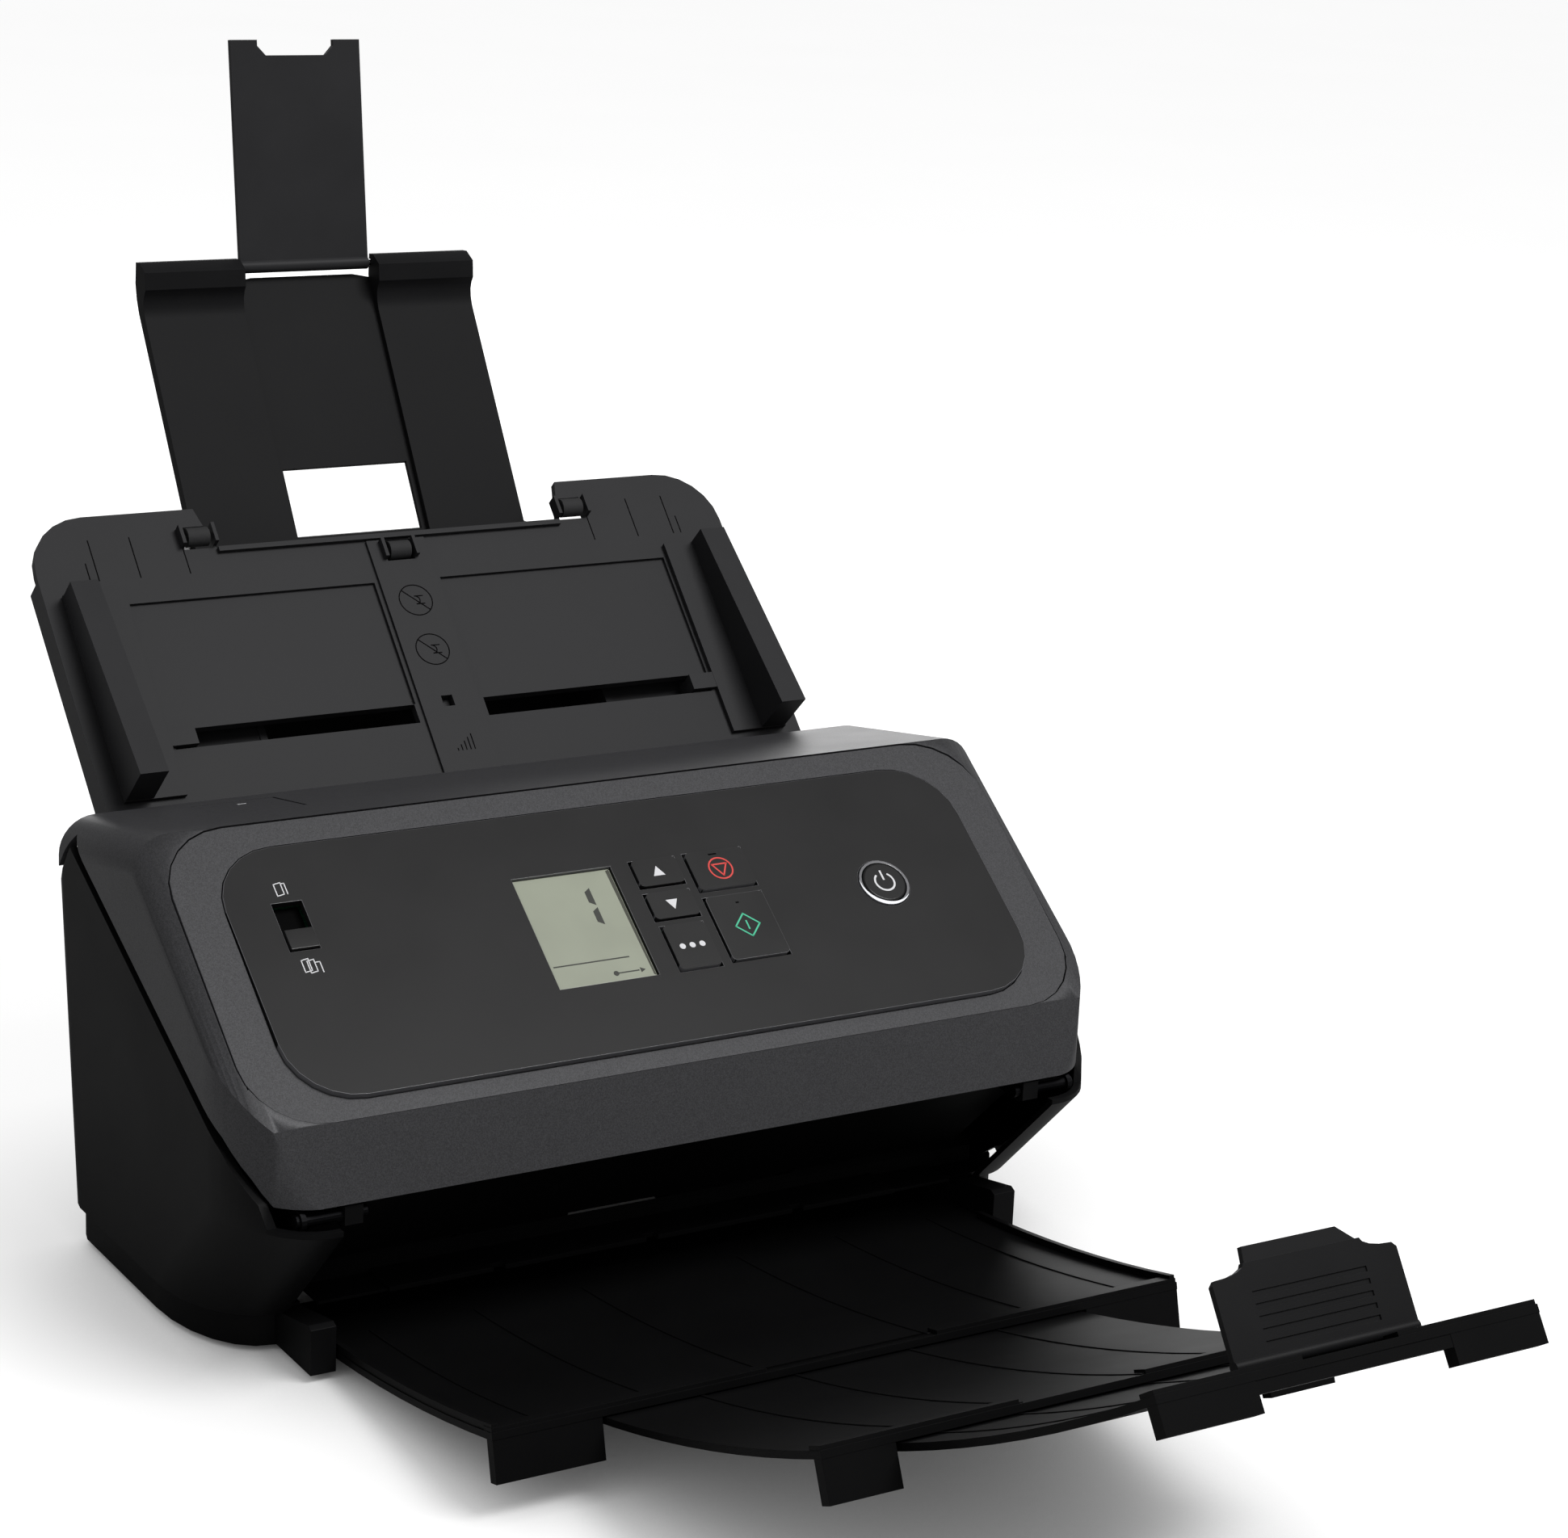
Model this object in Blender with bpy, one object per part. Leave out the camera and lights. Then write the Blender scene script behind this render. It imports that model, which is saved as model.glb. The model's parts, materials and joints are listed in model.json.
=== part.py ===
"""Desktop sheet-fed document scanner, in metres, +Z up, +Y to the rear, +X to the viewer's right.

The front unit swings forward on two pins, the eject trays slide and curl into each other, and the
feed side has an extension that slides down and a blade that folds over it.
"""
import math

import bmesh
import bpy
from mathutils import Vector

# ---- overall sizes ----
BODY_WIDTH = 0.291
BODY_HALF = BODY_WIDTH / 2
FOOT_HEIGHT = 0.002
FIT_GAP = 0.0003
SLIDE_GAP = 0.0006
WALL = 0.0025

# ---- side profile of the body: (y, z) corner places ----
REAR_FOOT_Y = 0.1732
REAR_TOP_Y = 0.1837
REAR_TOP_Z = 0.1082
SIDE_TOP_Y = 0.1687
SIDE_TOP_Z = 0.1279
SEAM_FRONT_Y = 0.0552
SEAM_FRONT_Z = 0.0716
SEAM_GAP = 0.0038
POST_FRONT_Y = 0.027
POST_TOP_Z = 0.0535
KNEE_Z = 0.0520
POST_INNER_X = BODY_HALF - 0.0255

# ---- lower case ----
CASE_TOP_Z = 0.0135
CASE_HALF = BODY_HALF - 0.0030
EAR_FRONT_Y = 0.0455
EAR_FRONT_Z = 0.0172
EAR_ROOT_Z = 0.0127
EAR_OUTER_X = BODY_HALF - 0.0239

# ---- front unit ----
HINGE_Y = 0.0345
HINGE_Z = 0.0555
HINGE_PIN_RADIUS = 0.0020
CREST_Y = 0.1191
CREST_Z = 0.1449
CREASE_Y = 0.0380
CREASE_Z = 0.0815
CHIN_Y = 0.0310
CHIN_Z = 0.0595
TOP_REAR_Y = 0.1780
TOP_REAR_Z = 0.1345
TOP_ROUND = 0.0115
LEVER_Y = 0.1440
CORNER_X = 0.0235
CORNER_Y = 0.0360
CORNER_STEPS = 14
TOP_STEPS = 8

# ---- control panel, in its own sloping plane ----
PANEL_Y = 0.0772
PANEL_Z = 0.1129
PANEL_TILT = math.radians(36.8)
PANEL_HALF_WIDTH = BODY_HALF - 0.0195
PANEL_HALF_DEPTH = 0.0437
PANEL_ROUND = 0.0205
PANEL_THICK = 0.0024
BEZEL_TILT = math.atan2(CREST_Z - CREASE_Z, CREST_Y - CREASE_Y)
BEZEL_HALF_WIDTH = BODY_HALF - 0.0058
BEZEL_HALF_DEPTH = 0.0512
BEZEL_ROUND = 0.0220
BEZEL_LOW = -0.0060
BEZEL_SINK = 0.0004
KEY_GAP = 0.0004
KEY_PROUD = 0.0009
KEY_DEPTH = 0.0046
KEY_ROUND = 0.0014
KEY_TRAVEL = 0.0006
SCREEN = (-0.0355, -0.0020, -0.0196, 0.0210)
KEYS = {
    "up_key": (0.0046, 0.0200, 0.0114, 0.0212),
    "down_key": (0.0046, 0.0200, -0.0009, 0.0088),
    "blank_key": (0.0052, 0.0195, -0.0197, -0.0035),
    "stop_key": (0.0235, 0.0436, 0.0072, 0.0214),
    "start_key": (0.0235, 0.0436, -0.0192, 0.0044),
}
POWER_X = PANEL_HALF_WIDTH - 0.0390
POWER_V = 0.0009
POWER_RADIUS = 0.0073
RING_WIDTH = 0.0009
SWITCH_X = -PANEL_HALF_WIDTH + 0.0188
SWITCH_HALF = 0.0048
SWITCH_LOW = 0.0065
SWITCH_HIGH = 0.0238
SWITCH_KNOB = 0.0072

# ---- feed tray, in its own sloping plane ----
FEED_Y = 0.2480
FEED_Z = 0.1893
FEED_TILT = math.radians(46.0)
FEED_HALF = BODY_HALF - 0.0205
FEED_TOP = 0.0240
FEED_LOW = -0.1010
FEED_THICK = 0.0030
FEED_ROUND = 0.0200
NOTCH_HALF_TOP = 0.0665
NOTCH_HALF_LOW = 0.0625
NOTCH_FLOOR = 0.0085
SLOT_LOW = -0.0630
SLOT_HIGH = -0.0562
RECESS_OUTER = FEED_HALF - 0.0275
RECESS_TOP = -0.0095
BAR_HALF = 0.0105
GUIDE_INNER = FEED_HALF - 0.0265
GUIDE_FACE = FEED_HALF - 0.0155
GUIDE_OUTER = FEED_HALF - 0.0060
GUIDE_TOP = -0.0050
GUIDE_LOW = -0.0800
GUIDE_HEIGHT = 0.0190
GUIDE_TOP_HEIGHT = 0.0100
RACK_MODULE = 0.0010
PINION_TEETH = 16
TRAY_ROLLER_X = 0.0685
TRAY_ROLLER_V = 0.0130
TRAY_ROLLER_RADIUS = 0.0032

# ---- extension tray and blade ----
EXT_Y = 0.2785
EXT_Z = 0.1955
EXT_TILT = math.radians(58.0)
EXT_LOW = -0.0300
EXT_HALF = 0.0610
EXT_NOTCH_HALF = 0.0248
EXT_THICK = 0.0042
WINDOW_LOW = -0.0040
WINDOW_TOP = 0.0205
PANEL_END = 0.0905
BLADE_HALF = 0.0238
BLADE_LENGTH = 0.0760
BLADE_THICK = 0.0020
BLADE_TILT = math.radians(83.0)
BLADE_PIVOT = 0.0950
BLADE_PIN_RADIUS = 0.0013

# ---- eject trays: concentric curves about one far centre ----
CURVE_Y = 0.1100
CURVE_Z = 0.6480
CURVE_RADIUS = 0.6437
TRAY_GAP = 0.0005
TRAY_THICK = 0.0021
TRAY_SIDES = (BODY_HALF - 0.0329, BODY_HALF * 0.5395, BODY_HALF * 0.3842)
TRAY_FRONTS = (-0.0500, -0.1550, -0.2514)
TRAY_REARS = (0.0880, -0.0280, -0.1330)
TRAY_FEET = (0.0330, 0.0215, 0.0275)
TRAY_FOOT_HEIGHTS = (0.0140, 0.0135, 0.0095)
STOPPER_HALF = 0.0270
STOPPER_HEIGHT = 0.0200
STOPPER_RISE = 0.0026
STOPPER_HEAD = 0.0170
STOPPER_TIP = 0.0138
STOPPER_PIVOT_Y = -0.2440

# ---- paper path ----
PATH_REAR_Y = 0.1760
PATH_REAR_Z = 0.1135
PATH_FRONT_Y = 0.0790
PATH_FRONT_Z = 0.0190
PATH_GAP = 0.0016
PATH_HALF = BODY_HALF - 0.0275
PLATE_X = BODY_HALF - 0.0165
FRAME_HALF = PLATE_X - 0.0025
PLATE_THICK = 0.0015
SHAFT_RADIUS = 0.0030
ROLLER_RADIUS = 0.0080
IDLER_RADIUS = 0.0050
ROLLER_PLACES = {"feed_roller": 0.030, "drive_roller": 0.062, "eject_roller": 0.124}
PULLEY_RADIUS = 0.0062
BELT_THICK = 0.0012
GEAR_MODULE = 0.0010
MOTOR_BOSS = 0.0025
MOTOR_ANGLE = math.radians(-60.0)
MESH_SLACK = 0.0001
BOARD_Z = 0.0224
BOARD_THICK = 0.0016
DRIVE_TEETH = 30
MOTOR_TEETH = 12

PATH_ANGLE = math.atan2(PATH_REAR_Z - PATH_FRONT_Z, PATH_REAR_Y - PATH_FRONT_Y)

FINISHES = {
    "shell": ((0.020, 0.020, 0.022), 0.48, 0.0),
    "flake": ((0.050, 0.050, 0.053), 0.42, 0.2),
    "panel": ((0.030, 0.030, 0.032), 0.40, 0.0),
    "tray": ((0.012, 0.012, 0.013), 0.55, 0.0),
    "inner": ((0.030, 0.030, 0.032), 0.60, 0.0),
    "screen": ((0.36, 0.40, 0.31), 0.20, 0.0),
    "ring": ((0.75, 0.76, 0.78), 0.30, 0.0),
    "rubber": ((0.04, 0.04, 0.045), 0.80, 0.0),
    "steel": ((0.60, 0.60, 0.62), 0.30, 1.0),
    "glass": ((0.10, 0.12, 0.13), 0.05, 0.0),
    "board": ((0.02, 0.12, 0.06), 0.50, 0.0),
    "gear": ((0.70, 0.70, 0.66), 0.50, 0.0),
}


# ---- scene helpers ----
def clear_scene():
    for old in list(bpy.data.objects):
        bpy.data.objects.remove(old, do_unlink=True)


def make_frame(name, parent, place, tilt=0.0):
    """An empty: a sloping plane's local Y runs up the slope and its local Z is the outward normal."""
    frame = bpy.data.objects.new(name, None)
    bpy.context.collection.objects.link(frame)
    frame.parent = parent
    frame.location = place
    frame.rotation_euler = (tilt, 0.0, 0.0)
    return frame


def make_material(name, finish):
    colour, roughness, metallic = FINISHES[finish]
    material = bpy.data.materials.new(name + "_finish")
    material.use_nodes = True
    shader = material.node_tree.nodes["Principled BSDF"]
    shader.inputs["Base Color"].default_value = (*colour, 1.0)
    shader.inputs["Roughness"].default_value = roughness
    shader.inputs["Metallic"].default_value = metallic
    return material


def make_piece(name, solid, finish, frame, place=(0.0, 0.0, 0.0), smooth=False):
    """Turn a bmesh drawn in the frame's coordinates into an object whose origin is at place."""
    bmesh.ops.recalc_face_normals(solid, faces=solid.faces)
    bmesh.ops.translate(solid, verts=solid.verts, vec=-Vector(place))
    mesh = bpy.data.meshes.new(name)
    solid.to_mesh(mesh)
    solid.free()
    piece = bpy.data.objects.new(name, mesh)
    bpy.context.collection.objects.link(piece)
    piece.parent = frame
    piece.location = place
    if finish:
        mesh.materials.append(make_material(name, finish))
    if smooth:
        mesh.shade_smooth()
        mesh.set_sharp_from_angle(angle=math.radians(40))
    return piece


def use_tool(piece, tool, operation):
    """Cut, join or trim a piece with a helper object, which is hidden."""
    tool.hide_render = True
    tool.display_type = "WIRE"
    modifier = piece.modifiers.new(f"{operation}_{len(piece.modifiers)}".lower(), "BOOLEAN")
    modifier.operation = operation
    modifier.solver = "EXACT"
    modifier.object = tool
    return piece


def make_tool(piece, solid, operation, frame=None):
    """Use a solid drawn in the piece's own frame, or in another one, as its helper."""
    tool = make_piece(f"{piece.name}_tool_{len(piece.modifiers)}", solid, None, frame or piece.parent)
    return use_tool(piece, tool, operation)


def cut(piece, solid, frame=None):
    return make_tool(piece, solid, "DIFFERENCE", frame)


def join(piece, solid):
    return make_tool(piece, solid, "UNION")


# ---- solids ----
def moved(solid, offset):
    bmesh.ops.translate(solid, verts=solid.verts, vec=Vector(offset))
    return solid


def loft(solid, loops):
    """Close a stack of equal-length loops into one solid."""
    rings = [[solid.verts.new(point) for point in loop] for loop in loops]
    count = len(rings[0])
    for lower, upper in zip(rings, rings[1:]):
        for i in range(count):
            j = (i + 1) % count
            solid.faces.new((lower[i], lower[j], upper[j], upper[i]))
    solid.faces.new(list(reversed(rings[0])))
    solid.faces.new(rings[-1])
    return solid


def box(x0, x1, y0, y1, z0, z1, solid=None):
    solid = solid or bmesh.new()
    corners = ((x0, y0), (x1, y0), (x1, y1), (x0, y1))
    return loft(solid, [[(x, y, z) for x, y in corners] for z in (z0, z1)])


def boxes(spans):
    solid = bmesh.new()
    for span in spans:
        box(*span, solid=solid)
    return solid


def prism_x(outline, x0, x1, solid=None):
    return loft(solid or bmesh.new(), [[(x, y, z) for y, z in outline] for x in (x0, x1)])


def prism_z(outline, z0, z1, solid=None):
    return loft(solid or bmesh.new(), [[(x, y, z) for x, y in outline] for z in (z0, z1)])


def arc(x, y, radius, start, end, steps):
    """Points on an arc; start and end are in degrees."""
    turns = [math.radians(start + (end - start) * i / steps) for i in range(steps + 1)]
    return [(x + radius * math.cos(turn), y + radius * math.sin(turn)) for turn in turns]


def rounded(x0, x1, y0, y1, radius, steps=4):
    """A rectangle with round corners, anticlockwise."""
    corners = ((x1, y1, -1, -1, 0), (x0, y1, 1, -1, 90), (x0, y0, 1, 1, 180), (x1, y0, -1, 1, 270))
    points = []
    for x, y, dx, dy, turn in corners:
        points += arc(x + dx * radius, y + dy * radius, radius, turn, turn + 90, steps)
    return points


def turned_x(stations, y, z, steps=24, solid=None):
    """A shaft along X from (x, radius) stations."""
    loops = []
    for x, radius in stations:
        loops.append([(x, py, pz) for py, pz in arc(y, z, radius, 0, 360, steps)[:-1]])
    return loft(solid or bmesh.new(), loops)


def rod_x(radius, x0, x1, y, z, steps=24, solid=None):
    return turned_x([(x0, radius), (x1, radius)], y, z, steps, solid)


def toothed(teeth, module, thin=0.36):
    """A slim straight-flanked gear outline round the origin."""
    pitch = teeth * module / 2
    root = pitch - 1.15 * module
    tip = pitch + 0.80 * module
    step = 2 * math.pi / teeth
    points = []
    for tooth in range(teeth):
        middle = tooth * step
        for radius, share in ((root, -thin), (tip, -thin / 2.4), (tip, thin / 2.4), (root, thin)):
            turn = middle + share * step * 0.5
            points.append((radius * math.cos(turn), radius * math.sin(turn)))
    return points


def on_path(along, above=0.0):
    """A place (y, z) on the paper path, measured down from its rear end, and above its surface."""
    y = PATH_REAR_Y - along * math.cos(PATH_ANGLE) - above * math.sin(PATH_ANGLE)
    z = PATH_REAR_Z - along * math.sin(PATH_ANGLE) + above * math.cos(PATH_ANGLE)
    return y, z


def path_block(x0, x1, along0, along1, low, high, solid=None):
    """A box lying on the paper path's slope."""
    corners = ((along0, low), (along1, low), (along1, high), (along0, high))
    return prism_x([on_path(*corner) for corner in corners], x0, x1, solid)


# ---- base ----
def rear_y(z):
    slope = (REAR_TOP_Y - REAR_FOOT_Y) / (REAR_TOP_Z - CASE_TOP_Z)
    return REAR_FOOT_Y + slope * (z - CASE_TOP_Z)


def front_y(z):
    return POST_FRONT_Y + max(0.0, KNEE_Z - z)


def half_plan(half, rear, front, inner_x, inset):
    """Right half of a plan outline, from the front inner end round to the rear middle."""
    across = CORNER_X - inset
    deep = CORNER_Y - inset
    front = front + inset
    points = [(inner_x, front)]
    for i in range(CORNER_STEPS + 1):
        turn = math.radians(-90 + 90 * i / CORNER_STEPS)
        x = half - inset - across + across * math.cos(turn)
        points.append((x, front + deep + deep * math.sin(turn)))
    radius = 0.010 - inset
    points += arc(half - inset - radius, rear - inset - radius, radius, 0, 90, 4)
    return points


def wall_loop(z):
    outer = half_plan(BODY_HALF, rear_y(z), front_y(z), POST_INNER_X, 0.0)
    inner = half_plan(BODY_HALF, rear_y(z), front_y(z), POST_INNER_X, WALL)
    loop = outer + [(-x, y) for x, y in reversed(outer)]
    loop += [(-x, y) for x, y in inner] + list(reversed(inner))
    return [(x, y, z) for x, y in loop]


def seam_line(lift=0.0):
    return [
        (REAR_TOP_Y, REAR_TOP_Z + lift),
        (SIDE_TOP_Y, SIDE_TOP_Z + lift),
        (SEAM_FRONT_Y, SEAM_FRONT_Z + lift),
        (POST_FRONT_Y + 0.013, POST_TOP_Z + 0.0065 + lift),
        (POST_FRONT_Y + 0.0105, POST_TOP_Z + lift),
        (0.0, POST_TOP_Z + lift),
    ]


def make_main_cover(base):
    levels = (CASE_TOP_Z + FIT_GAP, KNEE_Z, SIDE_TOP_Z + 0.004)
    cover = make_piece("main_cover", loft(bmesh.new(), [wall_loop(z) for z in levels]), "shell", base)
    above = [(0.24, REAR_TOP_Z), *seam_line(), (0.0, 0.24), (0.24, 0.24)]
    cut(cover, prism_x(above, -0.2, 0.2))
    rear = rear_y(0.03)
    cut(cover, boxes([
        (-0.060, -0.0478, rear - 0.01, rear + 0.01, 0.0240, 0.0350),
        (-0.036, -0.0260, rear - 0.01, rear + 0.01, 0.0240, 0.0340),
        (0.060, 0.0670, rear - 0.01, rear + 0.01, 0.0240, 0.0270),
    ]))
    return cover


def case_loop(z, half, rear, bay, front):
    outer = [(bay, front + 0.001), (EAR_OUTER_X, front)]
    for i in range(1, 7):
        turn = math.radians(-90 + 90 * i / 6)
        x = EAR_OUTER_X + (half - EAR_OUTER_X) * math.cos(turn)
        outer.append((x, front + 0.039 * (1 + math.sin(turn))))
    outer += arc(half - 0.008, rear - 0.008, 0.008, 0, 90, 3)
    loop = outer + [(-x, y) for x, y in reversed(outer)]
    return [(x, y, z) for x, y in loop + [(-bay, rear - 0.004), (bay, rear - 0.004)]]


def make_lower_case(base):
    bay = TRAY_SIDES[0] + SLIDE_GAP
    loops = [case_loop(z, CASE_HALF, REAR_FOOT_Y, bay, 0.070) for z in (FOOT_HEIGHT, CASE_TOP_Z)]
    case = make_piece("lower_case", loft(bmesh.new(), loops), "shell", base)
    ears = bmesh.new()
    outline = [(0.0725, FOOT_HEIGHT + 0.0002), (0.0725, EAR_ROOT_Z), (EAR_FRONT_Y + 0.0255, EAR_ROOT_Z)]
    outline += [(EAR_FRONT_Y + 0.002, EAR_FRONT_Z), (EAR_FRONT_Y, EAR_FRONT_Z - 0.001)]
    outline += [(EAR_FRONT_Y, FOOT_HEIGHT + 0.0002)]
    for side in (-1, 1):
        edges = sorted((side * (bay + 0.0002), side * (EAR_OUTER_X - 0.0002)))
        prism_x(outline, *edges, solid=ears)
    return join(case, ears)


def make_feet(base):
    across = CASE_HALF - 0.0145
    for name, x, y in (
        ("foot_front_left", -across, 0.102), ("foot_front_right", across, 0.102),
        ("foot_rear_left", -across, 0.158), ("foot_rear_right", across, 0.158),
    ):
        solid = bmesh.new()
        loops = [[(px, py, z) for px, py in arc(x, y, radius, 0, 360, 16)[:-1]]
                 for z, radius in ((0.0, 0.0058), (FOOT_HEIGHT - FIT_GAP, 0.0065))]
        make_piece(name, loft(solid, loops), "rubber", base, smooth=True)


def make_main_frame(base):
    """Moulded block under the paper path: its sloping top is the lower paper guide."""
    floor = CASE_TOP_Z + FIT_GAP
    profile = [(PATH_FRONT_Y, floor), (PATH_FRONT_Y, PATH_FRONT_Z), (PATH_REAR_Y, PATH_REAR_Z)]
    profile += [(PATH_REAR_Y, PATH_REAR_Z - 0.010), (0.1655, PATH_REAR_Z - 0.016), (0.1655, floor)]
    frame = make_piece("main_frame", prism_x(profile, -FRAME_HALF, FRAME_HALF), "inner", base)
    hollow = [(PATH_FRONT_Y + 0.018, floor + 0.003), (0.168, floor + 0.003), (0.168, 0.084)]
    hollow += [(0.1560, 0.0800)]
    cut(frame, prism_x(hollow, -FRAME_HALF + 0.0030, FRAME_HALF - 0.0030))
    pockets = bmesh.new()
    for along in ROLLER_PLACES.values():
        path_block(-0.060, 0.060, along - 0.0095, along + 0.0095, -0.0175, 0.01, pockets)
    path_block(-PATH_HALF + 0.0040, PATH_HALF - 0.0040, 0.078, 0.1045, -0.0144, 0.01, pockets)
    cut(frame, pockets)
    bores = bmesh.new()
    for name in ROLLER_PLACES:
        rod_x(SHAFT_RADIUS + FIT_GAP, -BODY_HALF, BODY_HALF, *roller_place(name), 16, bores)
    rod_x(MOTOR_BOSS + 2 * FIT_GAP, PLATE_X - 0.019, PLATE_X + 0.011, *motor_place(), 16, bores)
    cut(frame, bores)
    posts = [(x - 0.003, x + 0.003, y - 0.003, y + 0.003, floor + 0.002, BOARD_Z - FIT_GAP)
             for x in (-0.062, 0.066) for y in (0.112, 0.152)]
    return join(frame, boxes(posts))


def make_side_plates(base):
    """Folded steel plates that carry the shafts and the front unit's pins."""
    floor = CASE_TOP_Z + FIT_GAP
    outline = arc(HINGE_Y, HINGE_Z, HINGE_PIN_RADIUS + 0.0010, -110, -290, 8)
    outline += [(0.052, 0.0640), (0.160, 0.1160), (0.167, 0.1140), (0.164, floor), (0.0800, floor)]
    outline += [(0.0665, 0.0230)]
    for name, side in (("left_side_plate", -1), ("right_side_plate", 1)):
        inner, outer = sorted((side * PLATE_X, side * (PLATE_X + PLATE_THICK)))
        plate = make_piece(name, prism_x(outline, inner, outer), "steel", base)
        holes = bmesh.new()
        rod_x(HINGE_PIN_RADIUS + FIT_GAP, inner - 0.01, outer + 0.01, HINGE_Y, HINGE_Z, 16, holes)
        for roller in ROLLER_PLACES:
            rod_x(SHAFT_RADIUS + FIT_GAP, inner - 0.01, outer + 0.01, *roller_place(roller), 16, holes)
        if side > 0:
            rod_x(MOTOR_BOSS + 2 * FIT_GAP, inner - 0.01, outer + 0.01, *motor_place(), 16, holes)
        cut(plate, holes)


def make_exit_guide(base):
    """Stepped lip that lays the sheet on the eject tray."""
    top = PATH_FRONT_Z - 0.0030
    low = top - 0.0016
    middle = TRAY_SIDES[0] - 0.0246
    lip = box(-middle, middle, 0.0640, PATH_FRONT_Y - FIT_GAP, low, top)
    guide = make_piece("exit_guide", lip, "inner", base)
    ends = [(*sorted((side * (middle - 0.0005), side * (TRAY_SIDES[0] - 0.0026))),
             0.0655, PATH_FRONT_Y - FIT_GAP, low - 0.0004, top - 0.0010) for side in (-1, 1)]
    join(guide, boxes(ends))
    notches = [(x - 0.002, x + 0.002, 0.060, 0.0665, low - 0.01, top + 0.01) for x in (-0.052, 0.0, 0.052)]
    return cut(guide, boxes(notches))


def make_scan_unit(name, glass_name, frame, facing):
    """Contact image sensor bar with its glass; facing is +1 when it looks up at the paper."""
    lower = facing > 0
    low, high = (-0.0140, -0.0022) if lower else (PATH_GAP + 0.0022, PATH_GAP + 0.0140)
    half = PATH_HALF - 0.0050
    make_piece(name, path_block(-half, half, 0.0790, 0.1035, low, high), "inner", frame)
    low, high = (-0.0019, 0.0) if lower else (PATH_GAP, PATH_GAP + 0.0019)
    half -= 0.0020
    make_piece(glass_name, path_block(-half, half, 0.0830, 0.0995, low, high), "glass", frame)


def make_driven_rollers(base):
    """Shafts with their tyres; each ends in a pulley outside the right side plate."""
    start = [(-PLATE_X - 0.0040, SHAFT_RADIUS)]
    pulley_x = PLATE_X + PLATE_THICK + 0.0007
    end = [(pulley_x, SHAFT_RADIUS), (pulley_x, PULLEY_RADIUS), (pulley_x + 0.0038, PULLEY_RADIUS)]
    for name in ROLLER_PLACES:
        tyres = ((-0.0560, -0.0180), (0.0180, 0.0560))
        if name == "feed_roller":
            tyres = ((-0.0260, 0.0260),)
        stations = list(start)
        for x0, x1 in tyres:
            stations += [(x0, SHAFT_RADIUS), (x0, ROLLER_RADIUS), (x1, ROLLER_RADIUS), (x1, SHAFT_RADIUS)]
        y, z = roller_place(name)
        make_piece(name, turned_x(stations + end, y, z), "rubber", base, (0.0, y, z), smooth=True)


def roller_place(name):
    """Centre (y, z) of a driven roller, its top just proud of the lower paper guide."""
    return on_path(ROLLER_PLACES[name], -ROLLER_RADIUS + 0.0006)


def motor_place():
    y, z = roller_place("drive_roller")
    distance = (DRIVE_TEETH + MOTOR_TEETH) * GEAR_MODULE / 2 + MESH_SLACK
    return y + distance * math.cos(MOTOR_ANGLE), z + distance * math.sin(MOTOR_ANGLE)


def make_drive_train(base):
    """Drive gear on the middle shaft, and the motor pinion turned so that a gap meets a tooth."""
    y, z = roller_place("drive_roller")
    x0, x1 = PLATE_X + 0.0063, PLATE_X + 0.0100
    gear = prism_x([(y + gy, z + gz) for gy, gz in toothed(DRIVE_TEETH, GEAR_MODULE)], x0, x1)
    make_piece("drive_gear", gear, "gear", base, (0.0, y, z))
    my, mz = motor_place()
    gear_step = 2 * math.pi / DRIVE_TEETH
    offset = MOTOR_ANGLE - round(MOTOR_ANGLE / gear_step) * gear_step
    spin = MOTOR_ANGLE + math.pi + math.pi / MOTOR_TEETH + offset * DRIVE_TEETH / MOTOR_TEETH
    c, s = math.cos(spin), math.sin(spin)
    points = [(my + c * py - s * pz, mz + s * py + c * pz) for py, pz in toothed(MOTOR_TEETH, GEAR_MODULE)]
    make_piece("motor_pinion", prism_x(points, x0, x1), "steel", base, (0.0, my, mz))
    face = PLATE_X - 0.0062
    stations = [(face - 0.0298, 0.0135), (face, 0.0135), (face, MOTOR_BOSS), (x0 - FIT_GAP, MOTOR_BOSS)]
    make_piece("drive_motor", turned_x(stations, my, mz), "steel", base, smooth=True)


def make_belt(base):
    """Flat belt round the three equal pulleys."""
    y0, z0 = roller_place("feed_roller")
    y1, z1 = roller_place("eject_roller")
    tilt = math.degrees(PATH_ANGLE)
    x0, x1 = PLATE_X + 0.0024, PLATE_X + 0.0058

    def run(radius):
        return (arc(y0, z0, radius, tilt - 90, tilt + 90, 10)
                + arc(y1, z1, radius, tilt + 90, tilt + 270, 10))
    inner = run(PULLEY_RADIUS + FIT_GAP)
    outer = run(PULLEY_RADIUS + FIT_GAP + BELT_THICK)
    solid = bmesh.new()
    rings = [[solid.verts.new((x, y, z)) for y, z in loop]
             for x, loop in ((x0, outer), (x1, outer), (x1, inner), (x0, inner))]
    count = len(inner)
    for ring, following in zip(rings, rings[1:] + rings[:1]):
        for i in range(count):
            j = (i + 1) % count
            solid.faces.new((ring[i], ring[j], following[j], following[i]))
    make_piece("timing_belt", solid, "rubber", base)


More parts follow.
